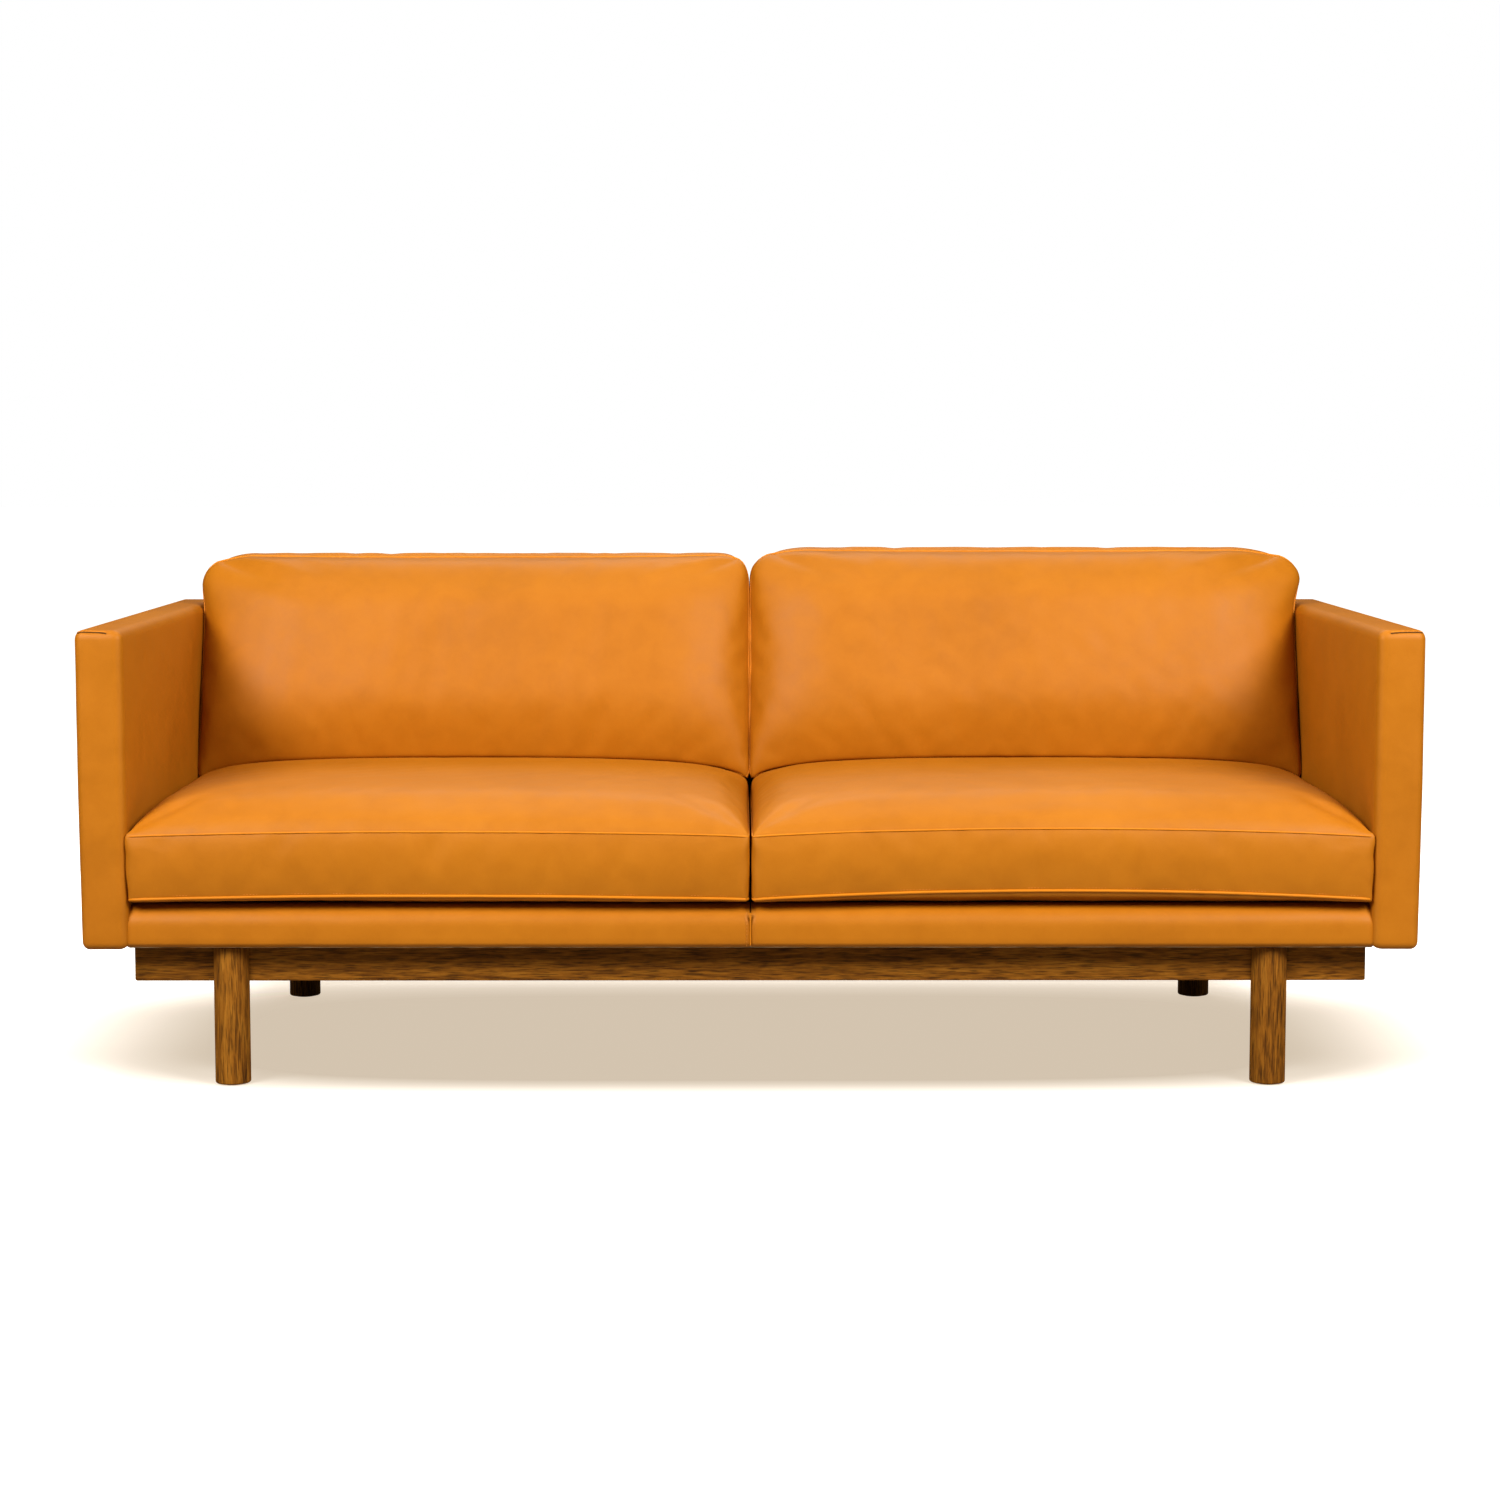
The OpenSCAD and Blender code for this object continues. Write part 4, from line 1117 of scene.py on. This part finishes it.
def back_cushion(seat):
    """A leaning back cushion: a full belly in front, a flat rear, and corners that hang as ears."""
    side_name, side = seat.name, seat.side
    body = f"back_cushion_{side_name}"
    slab_low, slab_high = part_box("back_inner_cover")
    start_z = seat.high[2] - BACK_SINK
    rise = (slab_high.z - start_z) * math.tan(BACK_LEAN)
    start_y = slab_low.y - BACK_REST_GAP - BACK_THICK / math.cos(BACK_LEAN) - rise
    up = np.array([0, math.sin(BACK_LEAN), math.cos(BACK_LEAN)])
    deep = np.array([0, math.cos(BACK_LEAN), -math.sin(BACK_LEAN)])
    arm_x = abs(seat.low[0] if side < 0 else seat.high[0])
    outer, inner = side * (arm_x - BACK_OUTER_GAP[side_name]), side * BACK_INNER_GAP
    half_w = abs(outer - inner) / 2
    foot, head = BACK_FOOT, BACK_TOP[side_name]
    half_h = (head - foot) / 2
    origin = np.array([(outer + inner) / 2, start_y, start_z]) + up * (head + foot) / 2
    grid = CushionGrid(half_w, half_h, 16 * mm, BAND_ROWS)
    corners = (BACK_FOOT_CORNER, BACK_FOOT_CORNER, *BACK_CORNERS[side_name])

    def placed(x, h, depth):
        return origin + np.outer(x, [1, 0, 0]) + np.outer(h, up) + np.outer(depth, deep)

    def bulge(s, t):
        near_head = np.where(t > 0, ease((np.abs(t) - 0.6) / 0.4), 0)
        return np.outer(BACK_HEAD_SWELL * near_head * crown(s, 10, 0.5), up)

    def rested(points):
        """Keeps the cushion on top of the seat, in front of the back and inside its own half."""
        points = points.copy()
        lift = seat.top(points[:, 0], points[:, 1]) + 1.2 * mm - points[:, 2]
        soft = 4 * mm
        eased = np.where(lift < soft, (lift + soft) ** 2 / (4 * soft), lift)
        points[:, 2] += np.where(lift > -soft, eased, 0)
        below_top = points[:, 2] < slab_high.z + 4 * mm
        before_back = np.minimum(points[:, 1], slab_low.y - 0.8 * mm)
        points[:, 1] = np.where(below_top, before_back, points[:, 1])
        above_arm = ease((points[:, 2] - slab_high.z - 8 * mm) / (30 * mm))
        outside = arm_x - 0.5 * mm + 16 * mm * above_arm
        points[:, 0] = side * np.clip(side * points[:, 0], abs(inner) - 2 * mm, outside)
        return points

    x, h = grid.outline(grid.s, grid.t, half_w, half_h, corners)
    x = x * (1 + 0.006 * (0.5 - h / half_h / 2))
    over_arm = ease((h / half_h - 0.35) / 0.4) * np.clip(grid.s * side, 0, 1) ** 6
    x = x + side * over_arm * BACK_OVER_ARM[side_name]
    from_foot, from_head = (grid.t + 1) * half_h, (1 - grid.t) * half_h
    from_side, from_end = (1 - np.abs(grid.s)) * half_w, (1 - np.abs(grid.t)) * half_h
    belly = quarter(from_foot, BACK_BELLY_FOOT) * quarter(from_head, BACK_BELLY_HEAD) ** 0.9
    swell = quarter(from_side, BACK_BELLY_SIDE) ** 0.9 * belly
    seam_depth = BACK_SEAM_DEPTH - BACK_EARS * np.abs(grid.s) ** 6
    flat = quarter(from_side, 60 * mm) * quarter(from_end, 60 * mm)
    rear_depth = BACK_REAR_SEAM_DEPTH + (BACK_THICK - BACK_REAR_SEAM_DEPTH) * flat
    front, rear = placed(x, h, seam_depth * (1 - swell)), placed(x, h, rear_depth)

    points = rested(grid.assemble(front, rear, bulge))
    cushion = add_piece(f"{body}_leather", points, grid.faces, LEATHER)
    resting = np.where(points[:, 2] < seat.top(points[:, 0], points[:, 1]) + 4 * mm)[0]
    held = np.concatenate([grid.sewn, resting])
    set_points(cushion, rested(inflate(cushion, held, 10 * mm, 0.006)))
    subdivide(cushion)
    points, normals = points_of(cushion), normals_of(cushion)
    facing = ease(-normals[:, 1] * 2 - 0.2)
    broad, fine = waver(points, 0.26, 51 + side), waver(points, 0.06, 55 + side)
    points += normals * (facing * (1.6 * mm * broad + 0.4 * mm * fine))[:, None]
    for corner, towards in ((outer, -side), (inner, side)):
        for reach, low_z, high_z, width, depth in BACK_CREASES:
            start = (corner + towards * 8 * mm, start_y + 32 * mm, low_z)
            stop = (corner + towards * reach, start_y + 8 * mm, high_z)
            points = fold(points, normals, start, stop, width, depth)
    points = rested(points)
    set_points(cushion, points)
    upholstered(cushion, body, [f"{body}_cover", f"{body}_core"])

    rings = []
    for seam in (grid.front_seam, grid.rear_seam):
        ring = sewn_ring(points, seam)
        ring[:, 0] += 0.5 * mm * waver(ring, 0.12, 61 + side)
        rings.append((ring, True))
    add_cords(f"{body}_welts", body, rings, WELT["back"])
    add_stitches(f"{body}_stitches", body, [(rings[0][0] + deep * 4.2 * mm, True)])


# ---- The room ----

FLOOR_REACH = 60.0
SHADOW_HALF_WIDTH = 1.04  # the painted shadow darkens the floor within about these
SHADOW_HALF_DEPTH = 0.45


def add_light(name, place, aim, size, power):
    lamp = bpy.data.lights.new(name, "AREA")
    lamp.shape, lamp.size, lamp.size_y = "RECTANGLE", *size
    lamp.energy = power
    light = add_object(name, lamp)
    light.location = place
    light.rotation_euler = (Vector(aim) - Vector(place)).to_track_quat("-Z", "Y").to_euler()


def add_camera():
    lens = bpy.data.cameras.new("camera")
    lens.lens, lens.sensor_width = 72.38, 36
    lens.clip_end = 200
    camera = add_object("camera", lens)
    camera.location = (-0.01285, -5.12196, 0.98272)
    camera.rotation_euler = (math.radians(90 - 5.457), 0, math.radians(-0.147))
    bpy.context.scene.camera = camera


def rgba(r, g, b):
    return (r, g, b, 1.0)


def show_to_camera(finish, seen, lit, output):
    """What the camera sees of the room, and what lights the sofa from it."""
    direct = finish.node("ShaderNodeLightPath").out("Is Camera Ray")
    both = finish.node("ShaderNodeMixShader", inputs={0: direct, 1: lit, 2: seen})
    finish.node(output, inputs={"Surface": both.out("Shader")})


def diffuse(finish, colour):
    return finish.node("ShaderNodeBsdfDiffuse", inputs={"Color": colour}).out("BSDF")


def add_floor():
    """A pale floor that lights the sofa less than it looks, with a wide soft shadow painted on it
    for the camera.
    """
    f = Finish("pale_floor")
    marks = f.noise(f.place(), 3.0, 4.0)
    pale = f.ramp(marks, [(0.3, (0.84, 0.84, 0.83)), (0.7, (0.87, 0.87, 0.86))])
    gradient, near = {"gradient_type": "SPHERICAL"}, {"Vector": f.place((0.3, 0.55, 1.0))}
    away = f.node("ShaderNodeTexGradient", gradient, near).out("Fac")
    # Painted shadow: the camera sees a warm beige glow near the sofa and a white glow farther off.
    painted_shadow_glow = f.ramp(away, [(0.30, grey(1.5)), (0.62, (1.0, 0.86, 0.69))])
    spot = f.place((1 / SHADOW_HALF_WIDTH, 1 / SHADOW_HALF_DEPTH, 1.0))
    x, y = (f.axis(spot, axis) for axis in "XY")
    outside = 0.5 * (x * x * x * x + y * y * y * y)
    # Painted shadow: within about the sofa's footprint the floor's lit colour is cut out, so the
    # camera sees only the glow there.
    shade = f.ramp(outside, [(0.25, grey(0.0)), (0.95, grey(1.0))])
    plain = diffuse(f, f.multiply(1.0, pale, shade))
    warm = {"Color": painted_shadow_glow, "Strength": 0.69}
    glow = f.node("ShaderNodeEmission", inputs=warm).out("Emission")
    lifted = f.node("ShaderNodeAddShader", inputs={0: plain, 1: glow}).out("Shader")
    dim = diffuse(f, rgba(0.34, 0.32, 0.29))
    show_to_camera(f, lifted, dim, "ShaderNodeOutputMaterial")
    ends = ((-1, -1), (1, -1), (1, 1), (-1, 1))
    corners = [(across * FLOOR_REACH, ahead * FLOOR_REACH, 0) for across, ahead in ends]
    add_piece("floor", corners, [(0, 1, 2, 3)], f.material, smooth=False)


def add_world(strength):
    """A white room to the camera, and faint light from all round to the sofa."""
    f = Finish("studio", "worlds")
    seen, lit = (
        f.node("ShaderNodeBackground", inputs={"Color": colour, "Strength": level}).out("Background")
        for colour, level in ((rgba(1, 1, 1), 1.0), (rgba(1.0, 0.99, 0.97), strength))
    )
    show_to_camera(f, seen, lit, "ShaderNodeOutputWorld")
    bpy.context.scene.world = f.material


# ---- Putting it together ----


def rear_arm_seam(side, low, high):
    """The upright closing seam at the rear of an arm."""
    x = (high[0] if side > 0 else low[0]) - side * 9 * mm
    heights = np.linspace(low[2] + 20 * mm, high[2] - 14 * mm, 40)
    bow = side * ARM_BOW * drawn_in(heights, low[2])
    return [(x - b, high[1] - 0.1 * mm, z) for b, z in zip(bow, heights)]


def sew_fixed_seams(arms, base, panel):
    """Cords and stitches of the leather that doesn't come off, as one piece each; the dark cord in
    the arm's short seam is painted shade.
    """
    shade_lines, lip_lines, stitch_lines = [], [], []
    for side_name, (arm, low, high) in arms.items():
        side = SIDES[side_name]
        short = arm_seam(side_name, low, high)
        shade_lines.append((laid_on(arm, short, 0.2 * mm), False))
        lip_lines.append((laid_on(arm, moved(short, 0, 1.6 * mm, 1.2 * mm), 0.1 * mm), False))
        rear = rear_arm_seam(side, low, high)
        lip_lines.append((rear, False))
        stitch_lines.append((moved(rear, -side * 5 * mm, 0), False))
    (_, base_y, base_z), (_, _, base_top) = base
    heights = np.linspace(base_z + 7 * mm, base_top - 12 * mm, 10)
    middle = [(0.2 * mm, base_y + 2.6 * mm, z) for z in heights]
    lip_lines.append((moved(middle, -0.4 * mm, 0.2 * mm), False))
    stitch_lines.append((moved(middle, -6.0 * mm, -0.9 * mm), False))
    low, high = panel[0] + 10 * mm, panel[1] - 10 * mm
    y = panel[1][1] - 0.2 * mm
    around = [(low[0], y, low[2]), (low[0], y, high[2]), (high[0], y, high[2]), (high[0], y, low[2])]
    stitch_lines.append((around, True))
    # Painted shade: a dark cord laid along the arm's short seam in place of the shadow in it.
    add_cords("fixed_seam_lines", "frame", shade_lines, 1.2 * mm, SEAM_SHADE, sides=8)
    add_cords("fixed_seam_lips", "frame", lip_lines, 1.3 * mm, sides=8)
    add_stitches("fixed_stitches", "frame", stitch_lines, 5.5 * mm, 3.8 * mm, 0.8 * mm)


def build_sofa():
    finish_frame_nodes()
    for end, rail in (("front", "plinth_front_rail"), ("rear", "plinth_back_rail")):
        eased_rail(rail)
        for side_name in SIDES:
            turned_leg(f"leg_{end}_{side_name}", rail)
    arms = {}
    for side_name in SIDES:
        arms[side_name] = arm_leather(side_name)
        base = base_leather(side_name)
    sew_fixed_seams(arms, base, back_leather())
    for side_name in SIDES:
        back_cushion(seat_cushion(side_name))


def light_room():
    add_floor()
    add_world(0.07)
    middle, seats = (0, 0, 0.4), (0, 0, 0.45)
    add_light("overhead", (0, -0.2, 3.4), middle, (3.4, 1.2), 42)
    add_light("left", (-2.5, -3.0, 2.9), seats, (1.6, 1.6), 198)
    add_light("right", (2.5, -3.0, 2.9), seats, (1.6, 1.6), 206)
    add_light("rear", (0, 2.8, 3.3), middle, (3.0, 1.2), 42)
    settings = bpy.context.scene.view_settings
    settings.view_transform = "Standard"
    settings.look = "None"
    settings.gamma = 0.88


add_camera()
build_sofa()
light_room()
